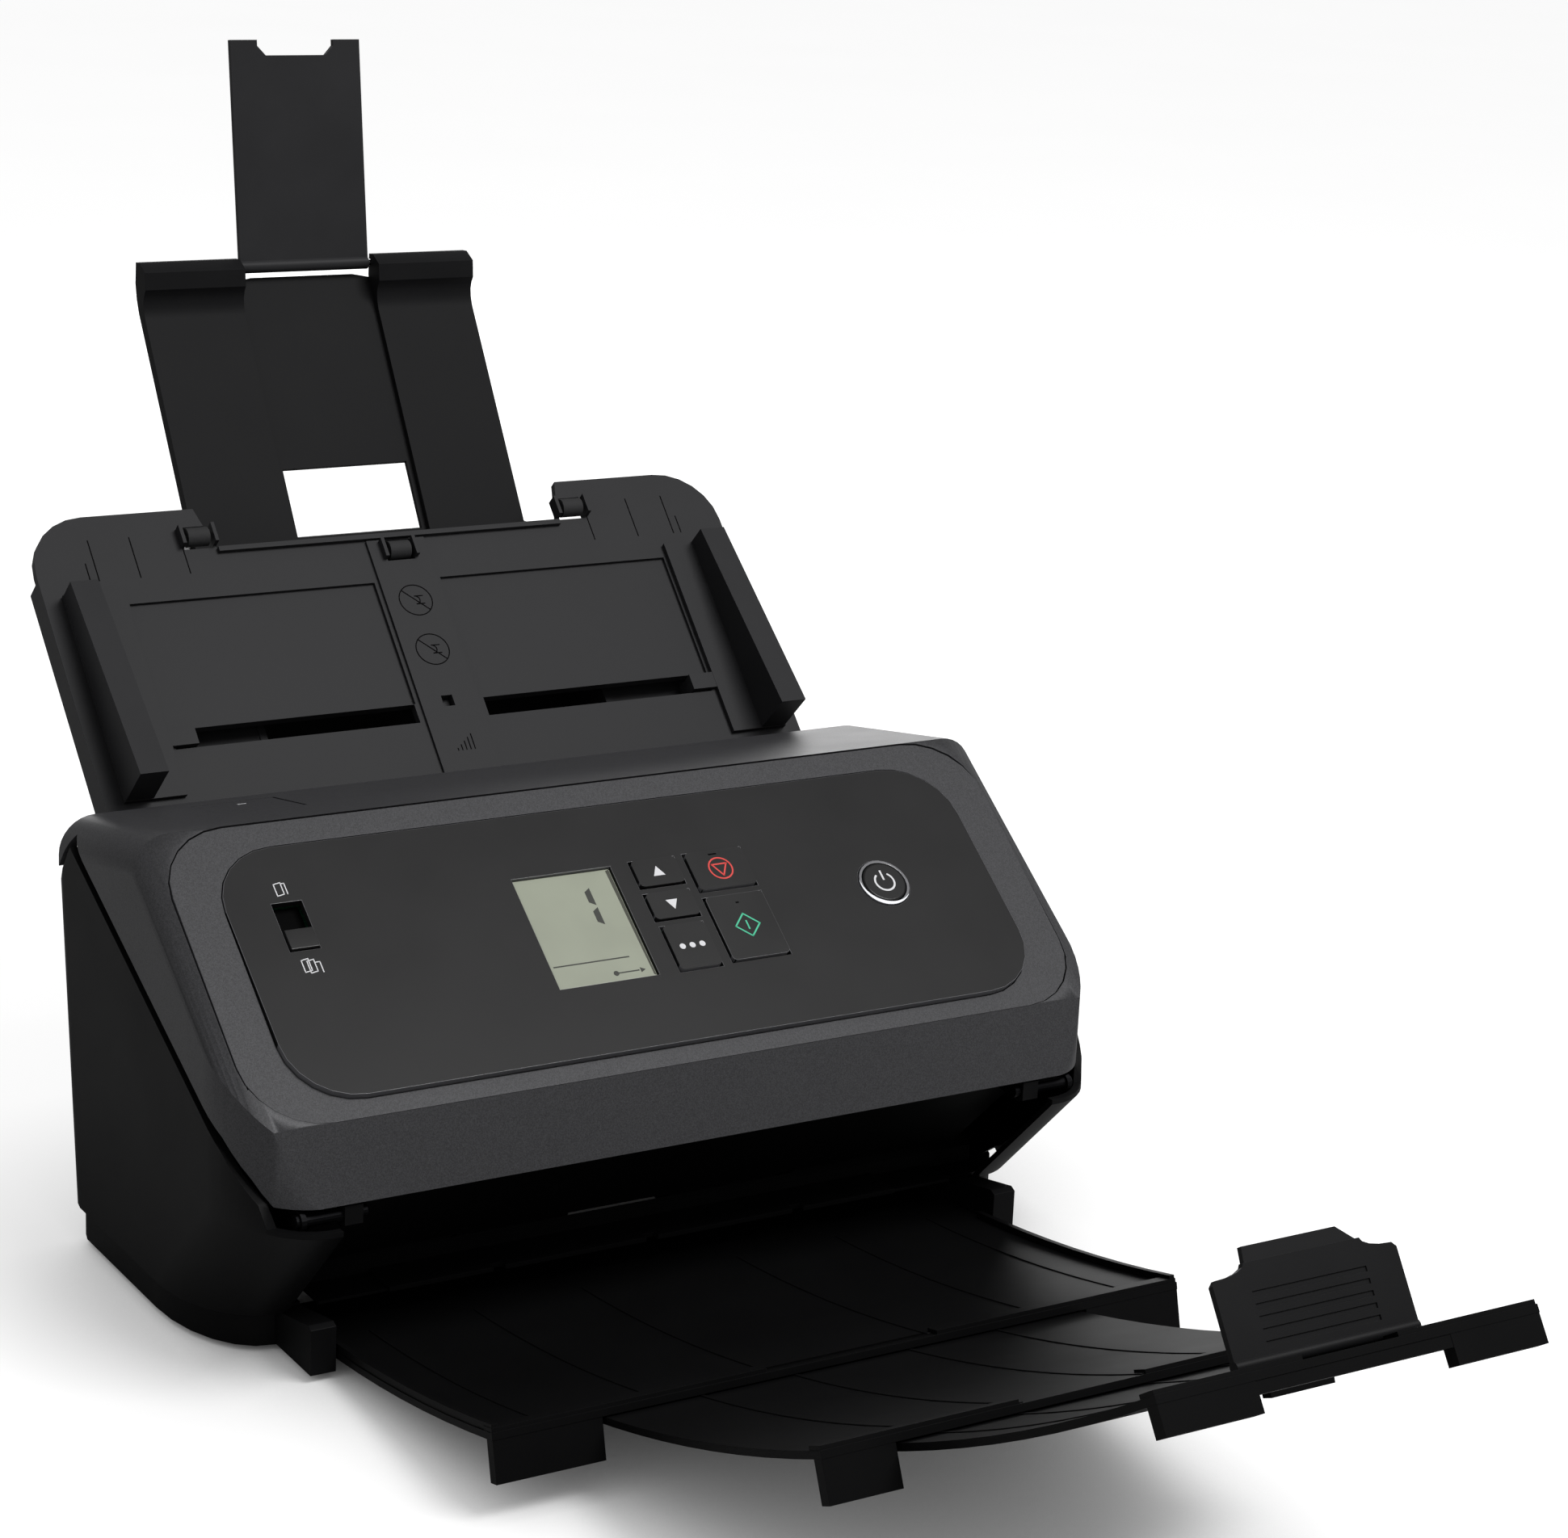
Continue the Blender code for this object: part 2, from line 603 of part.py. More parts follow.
def make_rear_electrics(base):
    rear = rear_y(0.030)
    board = box(-0.070, 0.075, 0.1060, rear - 0.0130, BOARD_Z, BOARD_Z + BOARD_THICK)
    make_piece("main_board", board, "board", base)
    sockets = (("usb_socket", -0.0600, -0.0478, 0.0350), ("power_inlet", -0.0360, -0.0260, 0.0340))
    for name, x0, x1, top in sockets:
        shell = box(x0 + FIT_GAP, x1 - FIT_GAP, rear - 0.0180, rear - 0.0006,
                    0.0240 + FIT_GAP, top - FIT_GAP)
        socket = make_piece(name, shell, "steel", base)
        cut(socket, box(x0 + 0.0013, x1 - 0.0013, rear - 0.0150, rear + 0.01, 0.0254, top - 0.0014))


# ---- front unit ----
def front_profile(drop, inset):
    """Outer side profile of the front cover, (y, z), lowered by drop at its rounded sides."""
    tilt = math.atan2(CREST_Z - CREASE_Z, CREST_Y - CREASE_Y)
    return [
        (CHIN_Y + inset, CHIN_Z),
        (CREASE_Y + inset, CREASE_Z - drop * 0.35 - inset * 0.4),
        (CREST_Y + inset * math.sin(tilt) * 0.6, CREST_Z - drop - inset * 1.05),
        (TOP_REAR_Y, TOP_REAR_Z - drop - inset),
        (TOP_REAR_Y, TOP_REAR_Z - 0.020),
        (SEAM_FRONT_Y, CHIN_Z),
    ]


def front_loops(inset):
    edge = BODY_HALF - inset
    stations = [(edge, TOP_ROUND)]
    for i in range(1, TOP_STEPS + 1):
        turn = math.radians(90 * i / TOP_STEPS)
        stations.append((edge - TOP_ROUND * (1 - math.cos(turn)), TOP_ROUND * (1 - math.sin(turn))))
    both = stations + [(-x, drop) for x, drop in reversed(stations)]
    return [[(x, y, z) for y, z in front_profile(drop, inset)] for x, drop in both]


def plan_block(inset):
    """A tall block with the front unit's plan, its front corners rounded."""
    right = half_plan(BODY_HALF, TOP_REAR_Y + 0.012, CHIN_Y - 0.0004, 0.0, inset)[1:]
    loop = right + [(-x, y) for x, y in reversed(right)]
    return prism_z(loop, 0.0, 0.2)


def make_front_cover(front):
    cover = make_piece("front_cover", loft(bmesh.new(), front_loops(0.0)), "flake", front)
    make_tool(cover, plan_block(0.0), "INTERSECT")
    hollow = make_piece("front_cover_hollow", loft(bmesh.new(), front_loops(WALL)), None, front)
    make_tool(hollow, plan_block(WALL), "INTERSECT")
    use_tool(cover, hollow, "DIFFERENCE")
    below = [(0.24, REAR_TOP_Z + SEAM_GAP), *seam_line(SEAM_GAP)[:3]]
    below += [(CHIN_Y + 0.013, CHIN_Z + 0.0068), (CHIN_Y + 0.007, CHIN_Z)]
    below += [(0.0, CHIN_Z), (0.0, 0.0), (0.24, 0.0)]
    cut(cover, prism_x(below, -0.2, 0.2))
    bay = BODY_HALF - 0.0065
    return cut(cover, box(-bay, bay, 0.0500, 0.24, 0.0, TOP_REAR_Z - 0.012))


def make_bezel(front, plane, cover):
    """The sloping ring round the control panel; the cover is opened for it."""
    def plate(gap, low, high):
        half, deep = BEZEL_HALF_WIDTH + gap, BEZEL_HALF_DEPTH + gap
        return prism_z(rounded(-half, half, -deep, deep, BEZEL_ROUND + gap, 6), low, high)
    cut(cover, plate(FIT_GAP, BEZEL_LOW - 0.0015, 0.02), plane)
    return make_piece("bezel_frame", plate(0.0, BEZEL_LOW, -BEZEL_SINK), "flake", plane)


def make_panel(plane, bezel):
    def plate(gap, low, high):
        half, deep = PANEL_HALF_WIDTH + gap, PANEL_HALF_DEPTH + gap
        return prism_z(rounded(-half, half, -deep, deep, PANEL_ROUND + gap, 6), low, high)
    panel = make_piece("control_panel", plate(0.0, -PANEL_THICK, 0.0), "panel", plane)
    cut(bezel, plate(FIT_GAP, -0.03, 0.03), plane)
    holes = bmesh.new()
    for x0, x1, v0, v1 in KEYS.values():
        box(x0 - KEY_GAP, x1 + KEY_GAP, v0 - KEY_GAP, v1 + KEY_GAP, -0.01, 0.01, holes)
    box(*SCREEN, -0.01, 0.01, holes)
    window = (SWITCH_X - SWITCH_HALF, SWITCH_X + SWITCH_HALF, SWITCH_LOW, SWITCH_HIGH)
    box(*window, -0.01, 0.01, holes)
    round_hole = arc(POWER_X, POWER_V, POWER_RADIUS + RING_WIDTH + 2 * FIT_GAP, 0, 360, 28)[:-1]
    prism_z(round_hole, -0.01, 0.01, holes)
    return cut(panel, holes)


def make_keys(plane):
    for name, (x0, x1, v0, v1) in KEYS.items():
        cap = prism_z(rounded(x0, x1, v0, v1, KEY_ROUND, 3), -KEY_DEPTH, KEY_PROUD)
        make_piece(name, cap, "panel", plane)
    disc = prism_z(arc(POWER_X, POWER_V, POWER_RADIUS, 0, 360, 28)[:-1], -KEY_DEPTH, KEY_PROUD)
    make_piece("power_button", disc, "panel", plane, (POWER_X, POWER_V, 0.0), smooth=True)
    disc = arc(POWER_X, POWER_V, POWER_RADIUS + RING_WIDTH + FIT_GAP, 0, 360, 28)[:-1]
    ring = make_piece("power_ring", prism_z(disc, -0.0020, 0.0006), "ring", plane, smooth=True)
    cut(ring, prism_z(arc(POWER_X, POWER_V, POWER_RADIUS + FIT_GAP, 0, 360, 28)[:-1], -0.01, 0.01))
    x0, x1, v0, v1 = SCREEN
    screen = box(x0 + FIT_GAP, x1 - FIT_GAP, v0 + FIT_GAP, v1 - FIT_GAP, -0.0040, -0.0008)
    make_piece("display_screen", screen, "screen", plane)
    knob = boxes([(SWITCH_X - SWITCH_HALF + FIT_GAP, SWITCH_X + SWITCH_HALF - FIT_GAP,
                   SWITCH_LOW + FIT_GAP, SWITCH_LOW + SWITCH_KNOB, -0.0052, 0.0010)])
    make_piece("feed_switch_knob", knob, "panel", plane)
    top = -KEY_DEPTH - KEY_TRAVEL - FIT_GAP
    board = box(0.008 - PANEL_HALF_WIDTH, PANEL_HALF_WIDTH - 0.016, -0.030, 0.030, top - BOARD_THICK, top)
    make_piece("control_board", board, "board", plane)


def make_upper_frame(front):
    """Moulded inner unit above the paper path, open at its top."""
    top = [on_path(0.006, PATH_GAP), on_path(0.133, PATH_GAP)]
    tip_y = top[1][0] - 0.0030
    outline = [top[0], top[1], (tip_y, top[1][1] + 0.0010), (CHIN_Y + 0.0050, HINGE_Z + 0.0060)]
    outline += [(CHIN_Y + 0.0080, HINGE_Z + 0.0095), (0.1600, 0.1220), (0.1690, 0.1235)]
    unit = make_piece("upper_frame", prism_x(outline, -PATH_HALF, PATH_HALF), "inner", front)
    inner = [on_path(0.034, PATH_GAP + 0.0024), on_path(0.128, PATH_GAP + 0.0024)]
    inner += [(CHIN_Y + 0.0180, HINGE_Z + 0.0060), (CHIN_Y + 0.012, 0.085), (0.150, 0.160)]
    cut(unit, prism_x(inner, -PATH_HALF + WALL, PATH_HALF - WALL))
    pockets = bmesh.new()
    for along in ROLLER_PLACES.values():
        path_block(-0.060, 0.060, along - 0.0070, along + 0.0070, -0.01, 0.0130, pockets)
    path_block(0.0045 - PATH_HALF, PATH_HALF - 0.0045, 0.0785, 0.1040, -0.01, 0.0152, pockets)
    cut(unit, pockets)
    bores = bmesh.new()
    for along in ROLLER_PLACES.values():
        y, z = on_path(along, PATH_GAP + IDLER_RADIUS - 0.0006)
        rod_x(0.0015 + FIT_GAP, -0.0640, 0.0640, y, z, 12, bores)
    cut(unit, bores)
    arms = bmesh.new()
    nose = CHIN_Z - 0.0007
    outline = [(HINGE_Y - 0.0029, HINGE_Z - 0.0025), (HINGE_Y - 0.0029, nose), (HINGE_Y + 0.0034, nose)]
    outline += [(CHIN_Y + 0.020, HINGE_Z + 0.014), (CHIN_Y + 0.022, HINGE_Z - 0.0015)]
    outline.append((HINGE_Y, HINGE_Z - 0.0038))
    for side in (-1, 1):
        prism_x(outline, *sorted((side * (PATH_HALF - 0.006), side * (PATH_HALF - 0.0004))), solid=arms)
    join(unit, arms)
    holes = bmesh.new()
    rod_x(HINGE_PIN_RADIUS + FIT_GAP, -0.2, 0.2, HINGE_Y, HINGE_Z, 16, holes)
    return cut(unit, holes)


def make_idlers(front):
    names = {"feed_roller": "retard_roller", "drive_roller": "drive_idler", "eject_roller": "eject_idler"}
    for driven, name in names.items():
        y, z = on_path(ROLLER_PLACES[driven], PATH_GAP + IDLER_RADIUS - 0.0006)
        reach = 0.024 if name == "retard_roller" else 0.052
        stations = [(-0.0630, 0.0015), (-reach, 0.0015), (-reach, IDLER_RADIUS), (reach, IDLER_RADIUS)]
        stations += [(reach, 0.0015), (0.0630, 0.0015)]
        make_piece(name, turned_x(stations, y, z, 20), "rubber", front, (0.0, y, z), smooth=True)


def make_hinge_pins(base):
    for name, side in (("left_hinge_pin", -1), ("right_hinge_pin", 1)):
        ends = sorted((side * (PATH_HALF - 0.0080), side * (PLATE_X + PLATE_THICK + 0.0010)))
        make_piece(name, rod_x(HINGE_PIN_RADIUS, *ends, HINGE_Y, HINGE_Z, 16), "steel", base, smooth=True)


# ---- feed side ----
def make_feed_tray(plane):
    top = FEED_TOP
    left = [(-NOTCH_HALF_LOW, NOTCH_FLOOR), (-NOTCH_HALF_TOP, top)]
    left += arc(-FEED_HALF + FEED_ROUND, top - FEED_ROUND, FEED_ROUND, 90, 180, 6)
    outline = [*left, (-FEED_HALF, FEED_LOW)]
    outline += [(-x, v) for x, v in reversed(outline)]
    tray = make_piece("feed_tray", prism_z(outline, -FEED_THICK, 0.0), "tray", plane)
    rims = [(*sorted((side * FEED_HALF, side * (FEED_HALF - WALL))), -0.0880, 0.0020, -0.0095, -0.0010)
            for side in (-1, 1)]
    bar = (-BAR_HALF, BAR_HALF, FEED_LOW + 0.0020, 0.0060, -0.0010, 0.0010)
    ledge = (-NOTCH_HALF_LOW, NOTCH_HALF_LOW, NOTCH_FLOOR - 0.0020, NOTCH_FLOOR - 0.0002, -0.0010, 0.0016)
    join(tray, boxes([*rims, bar, ledge]))
    places = roller_places()
    cheeks = []
    for x, v in places:
        for low in (x - 0.0062, x + 0.0050):
            cheeks.append((low, low + 0.0012, v - 0.0035, v + 0.0035, -0.0012, 0.0034))
    join(tray, boxes(cheeks))
    panels = []
    for side in (-1, 1):
        inner, outer = sorted((side * (BAR_HALF + 0.0015), side * RECESS_OUTER))
        panels.append((inner, outer, SLOT_HIGH + 0.0002, RECESS_TOP, -0.0012, 0.01))
        panels.append((inner + 0.0005, outer - 0.0005, SLOT_LOW, SLOT_HIGH, -0.01, 0.02))
    panels += [(x - 0.0050, x + 0.0050, v - 0.0042, v + 0.0042, -0.01, 0.02) for x, v in places]
    panels.append((-0.0028, 0.0012, -0.0585, -0.0545, -0.0022, 0.02))
    return cut(tray, boxes(panels))


def roller_places():
    return ((-TRAY_ROLLER_X, TRAY_ROLLER_V), (0.0, 0.0020), (TRAY_ROLLER_X, TRAY_ROLLER_V))


def make_tray_rollers(plane):
    names = ("tray_roller_left", "tray_roller_centre", "tray_roller_right")
    for name, (x, v) in zip(names, roller_places()):
        radius = TRAY_ROLLER_RADIUS
        stations = [(x - 0.0047, 0.0011), (x - 0.0038, 0.0011), (x - 0.0038, radius), (x + 0.0038, radius)]
        stations += [(x + 0.0038, 0.0011), (x + 0.0047, 0.0011)]
        make_piece(name, turned_x(stations, v, 0.0004, 18), "rubber", plane, (x, v, 0.0004), smooth=True)


def rack_outline(side, pinion_v):
    """Rack below the pinion for side -1 and above it for side +1, in (x, v)."""
    pitch = RACK_MODULE * math.pi
    line = pinion_v + side * RACK_MODULE * PINION_TEETH / 2
    tip = line - side * 0.80 * RACK_MODULE
    root = line + side * 1.15 * RACK_MODULE
    back = line + side * 0.0048
    first, last = -4, round((RECESS_OUTER - 0.0064) / pitch)
    points = [(side * (first * pitch), back), (side * (first * pitch), root)]
    for tooth in range(first, last):
        middle = (tooth + 0.5) * pitch
        for offset, v in ((-0.18, root), (-0.075, tip), (0.075, tip), (0.18, root)):
            points.append((side * (middle + offset * pitch), v))
    end = side * (last * pitch + 0.0012)
    return [*points, (end, root), (end, back)]


def pinion_place():
    return (SLOT_LOW + SLOT_HIGH) / 2


def make_side_guides(plane):
    v_mid = pinion_place()
    for name, side in (("left_side_guide", -1), ("right_side_guide", 1)):
        def span(a, b):
            return sorted((side * a, side * b))
        low, high = FIT_GAP, 0.0018
        guide = make_piece(name, box(*span(GUIDE_INNER, GUIDE_OUTER), GUIDE_LOW, GUIDE_TOP, low, high),
                           "tray", plane)
        fin = [(GUIDE_LOW + 0.0002, low + 0.0002), (GUIDE_TOP - 0.0002, low + 0.0002),
               (GUIDE_TOP - 0.0002, GUIDE_TOP_HEIGHT), (GUIDE_LOW + 0.0002, GUIDE_HEIGHT)]
        join(guide, prism_x(fin, *span(GUIDE_FACE, GUIDE_OUTER - 0.0002)))
        foot = RECESS_OUTER - 0.0080
        bridge = span(foot, GUIDE_INNER + 0.002)
        join(guide, box(*bridge, v_mid - 0.0029, v_mid + 0.0029, low + 0.0001, 0.0017))
        stem = span(foot + 0.0001, foot + 0.0060)
        join(guide, box(*stem, v_mid - 0.0028, v_mid + 0.0028, -0.0072, 0.0015))
        arm = sorted((v_mid - side * 0.0020, v_mid + side * 0.0110))
        join(guide, box(*span(foot + 0.0003, foot + 0.0057), *arm, -0.0071, -0.0045))
        join(guide, prism_z(rack_outline(side, v_mid), -0.0074, -0.0042))


def make_guide_pinion(plane):
    v_mid = pinion_place()
    outline = [(x, v_mid + v) for x, v in toothed(PINION_TEETH, RACK_MODULE)]
    pinion = make_piece("guide_pinion", prism_z(outline, -0.0074, -0.0042), "gear", plane, (0.0, v_mid, 0.0))
    hub = prism_z(arc(0.0, v_mid, 0.0030, 0, 360, 16)[:-1], -0.0060, -FEED_THICK - FIT_GAP)
    return join(pinion, hub)


def in_plane(origin_y, origin_z, tilt, along, out):
    """World (y, z) of a point that is along up a sloping plane and out from it."""
    y = origin_y + along * math.cos(tilt) - out * math.sin(tilt)
    z = origin_z + along * math.sin(tilt) + out * math.cos(tilt)
    return y, z


def make_tray_housing(base):
    """Deep box behind the feed tray that the extension slides down into, with a cover over each rack."""
    def under(v, w=-FEED_THICK - FIT_GAP):
        return in_plane(FEED_Y, FEED_Z, FEED_TILT, v, w)

    def behind(t, w):
        return in_plane(EXT_Y, EXT_Z, EXT_TILT, t, w)
    low = 0.1035
    front = REAR_TOP_Y + 0.0006
    back_low = behind(-0.1050, -0.0075)
    back_top = behind(-0.0020, -0.0075)
    outline = [(front, low), (back_low[0], low), back_low, back_top]
    outline += [(under(NOTCH_FLOOR)[0] + 0.0015, back_top[1]), under(NOTCH_FLOOR - 0.0010), under(-0.0880)]
    outline += [(front, under(-0.0960)[1])]
    half = EXT_HALF + SLIDE_GAP
    housing = make_piece("tray_housing", prism_x(outline, -half - WALL, half + WALL), "tray", base)
    hollow = [(front + 0.0030, low + 0.0030), (behind(-0.1020, -0.0046)[0], low + 0.0030)]
    hollow += [behind(-0.1020, -0.0046), behind(-0.0060, -0.0046), behind(-0.0060, 0.0060)]
    hollow += [under(-0.0020, -0.0060), under(-0.0020, 0.0040)]
    hollow += [under(-0.0860, 0.0040), under(-0.0860, -0.0060)]
    cut(housing, prism_x(hollow, -half, half))
    slot = [behind(t, w) for t, w in ((-0.0200, -0.0046), (0.0200, -0.0046), (0.0200, 0.0014), (-0.0200, 0.0014))]
    cut(housing, prism_x(slot, -half, half))
    racks = [under(-0.0400, 0.0040), under(-0.0400, -0.0090)]
    racks += [under(-0.0790, -0.0090), under(-0.0790, 0.0040)]
    cut(housing, prism_x(racks, -0.2, 0.2))
    cover = [under(-0.0420, -0.0094), under(-0.0420, -0.0112)]
    cover += [under(-0.0780, -0.0112), under(-0.0780, -0.0094)]
    covers = bmesh.new()
    for side in (-1, 1):
        prism_x(cover, *sorted((side * (half + WALL / 2), side * (FEED_HALF - 0.0070))), solid=covers)
    return join(housing, covers)


def wing_profile():
    """Side profile (t, w) of an extension wing: flat, then curled forward to a lip."""
    front = [(EXT_LOW, 0.0), (0.0760, 0.0), (0.0790, 0.0006), (0.0815, 0.0018)]
    front += [(0.0832, 0.0036), (0.0842, 0.0056)]
    lip = [(0.0894, 0.0082), (0.0942, 0.0054), (0.0958, 0.0026)]
    back = [(0.0900, -0.0016), (0.0850, -0.0034), (0.0800, -EXT_THICK), (EXT_LOW, -EXT_THICK)]
    return front + lip + back


def make_extension(ext_plane):
    wings = bmesh.new()
    for side in (-1, 1):
        edges = sorted((side * EXT_NOTCH_HALF, side * EXT_HALF))
        prism_x(wing_profile(), *edges, solid=wings)
    plate = box(-0.0300, 0.0300, EXT_LOW + 0.0002, PANEL_END, -0.0040, -0.0022)
    tray = make_piece("extension_tray", plate, "tray", ext_plane)
    cut(tray, box(-0.0230, 0.0230, WINDOW_LOW, WINDOW_TOP, -0.01, 0.01))
    corners = bmesh.new()
    for side in (-1, 1):
        notch = [(side * 0.0310, PANEL_END - 0.0026), (side * 0.0310, 0.1000), (side * 0.0190, 0.1000)]
        prism_z([*notch, (side * 0.0190, PANEL_END)], -0.01, 0.01, corners)
    cut(tray, corners)
    join(tray, wings)
    holes = rod_x(BLADE_PIN_RADIUS, -0.0290, 0.0290, BLADE_PIVOT - 0.0020, 0.0014, 12)
    return cut(tray, holes)


def make_blade(blade_plane, ext_plane):
    plate = box(-BLADE_HALF, BLADE_HALF, 0.0010, BLADE_LENGTH, -BLADE_THICK / 2, BLADE_THICK / 2)
    blade = make_piece("flip_support", plate, "tray", blade_plane)
    join(blade, rod_x(0.0022, -BLADE_HALF + 0.0001, BLADE_HALF - 0.0001, 0.0, 0.0, 16))
    notch = [(-0.0140, BLADE_LENGTH + 0.01), (-0.0140, BLADE_LENGTH - 0.0020), (-0.0110, BLADE_LENGTH - 0.0052)]
    notch += [(-x, v) for x, v in reversed(notch)]
    cut(blade, prism_z(notch, -0.01, 0.01))
    cut(blade, rod_x(BLADE_PIN_RADIUS, -0.03, 0.03, 0.0, 0.0, 12))
    pin = rod_x(BLADE_PIN_RADIUS - FIT_GAP, -0.0286, 0.0286, BLADE_PIVOT - 0.0020, 0.0014, 12)
    make_piece("flip_support_pin", pin, "steel", ext_plane, smooth=True)


# ---- eject side ----
def curve_point(y, radius):
    """(y, z) on the tray curve of this radius, straight out from where y lies on the top tray's curve."""
    turn = math.asin((CURVE_Y - y) / CURVE_RADIUS)
    return CURVE_Y - radius * math.sin(turn), CURVE_Z - radius * math.cos(turn)


def curved(y0, y1, radius0, radius1, steps=10):
    stops = [y0 + (y1 - y0) * i / steps for i in range(steps + 1)]
    return [curve_point(y, radius0) for y in stops] + [curve_point(y, radius1) for y in reversed(stops)]


def tray_radius(index):
    return CURVE_RADIUS + index * (TRAY_THICK + TRAY_GAP)


def make_trays(frames):
    """Each tray slides under the one before it; a tray's frame has its origin at place."""
    names = ("eject_tray", "eject_extension", "eject_end_tray")
    for index, (name, (frame, place)) in enumerate(zip(names, frames)):
        radius = tray_radius(index)
        half, foot = TRAY_SIDES[index], TRAY_FEET[index]
        front, rear = TRAY_FRONTS[index], TRAY_REARS[index]
        back = -Vector(place)
        skin = prism_x(curved(front, rear, radius, radius + TRAY_THICK), -half, half)
        tray = make_piece(name, moved(skin, back), "tray", frame)
        for side in (-1, 1):
            deep = TRAY_FOOT_HEIGHTS[index]
            plate = curved(front + 0.0001, front + 0.0035, radius + 0.0008, radius + deep, 2)
            extras = [(plate, half - foot, half - 0.0001)]
            lip = curved(front + 0.0003, front + 0.0050, radius - 0.0012, radius + 0.0005, 2)
            extras.append((lip, half * 0.25, half - 0.0002))
            if index == 0:
                rim = curved(front + 0.0005, 0.0500, radius - 0.0022, radius + 0.0010, 8)
                extras.append((rim, half - 0.0022, half - 0.0004))
            if index < 2:
                inner = TRAY_SIDES[index + 1] + 0.0004
                last = 0.0560 if index == 0 else rear - 0.0010
                rail = curved(front + 0.0020, last, radius + 0.0012, radius + 2 * TRAY_THICK + 0.0008, 8)
                extras.append((rail, inner, inner + 0.0014))
            for outline, x0, x1 in extras:
                join(tray, moved(prism_x(outline, *sorted((side * x0, side * x1))), back))
        if index == 2:
            face = curved(front + 0.0002, front + 0.0030, radius + 0.0006, radius + 0.0052, 2)
            join(tray, moved(prism_x(face, -half + foot - 0.0010, half - foot + 0.0010), back))


def make_stopper(plane):
    """Folding stop: a plate with hollow shoulders and a head bent back at its top."""
    fold = STOPPER_HEIGHT + STOPPER_RISE
    reach = STOPPER_HALF - 0.0016 - STOPPER_HEAD
    right = [(STOPPER_HALF, 0.0012), (STOPPER_HALF, STOPPER_HEIGHT - 0.0012)]
    right.append((STOPPER_HALF - 0.0012, STOPPER_HEIGHT))
    for i in range(5):
        turn = math.radians(90 * i / 4)
        x = STOPPER_HEAD + reach * (1 - math.sin(turn))
        right.append((x, STOPPER_HEIGHT + STOPPER_RISE * (1 - math.cos(turn))))
    outline = right + [(-x, v) for x, v in reversed(right)]
    stopper = make_piece("paper_stopper", prism_z(outline, -0.0009, 0.0009), "tray", plane)
    levels = ((STOPPER_HEAD - 0.0002, fold - 0.0008, 0.0), (STOPPER_TIP, fold + 0.0040, -0.0034))
    head = [[(x, v, w + thick) for x, thick in ((-half, -0.0008), (half, -0.0008), (half, 0.0008), (-half, 0.0008))]
            for half, v, w in levels]
    join(stopper, loft(bmesh.new(), head))
    return join(stopper, rod_x(0.0016, -STOPPER_HALF + 0.0001, STOPPER_HALF - 0.0001, 0.0, 0.0, 14))


def make_lever(plane, cover):
    x0, x1 = -BODY_HALF + 0.0389, -BODY_HALF + 0.0655
    cut(cover, box(x0 - 0.0004, x1 + 0.0004, -0.0008, 0.0254, -0.02, 0.02), plane)
    lever = make_piece("release_lever", box(x0, x1, 0.0, 0.0250, -0.0022, -0.0001), "shell", plane)
    return join(lever, box(x0 + 0.004, x1 - 0.004, 0.0030, 0.0060, -0.0090, -0.0010))


def centre_in_depth(root):
    """Slide the whole object along Y until its box is centred on the origin."""
    bpy.context.view_layer.update()
    graph = bpy.context.evaluated_depsgraph_get()
    reach = []
    for piece in bpy.data.objects:
        if piece.type == "MESH" and not piece.hide_render:
            mesh = piece.evaluated_get(graph).to_mesh()
            reach += [(piece.matrix_world @ vertex.co).y for vertex in mesh.vertices]
    root.location.y = -(min(reach) + max(reach)) / 2


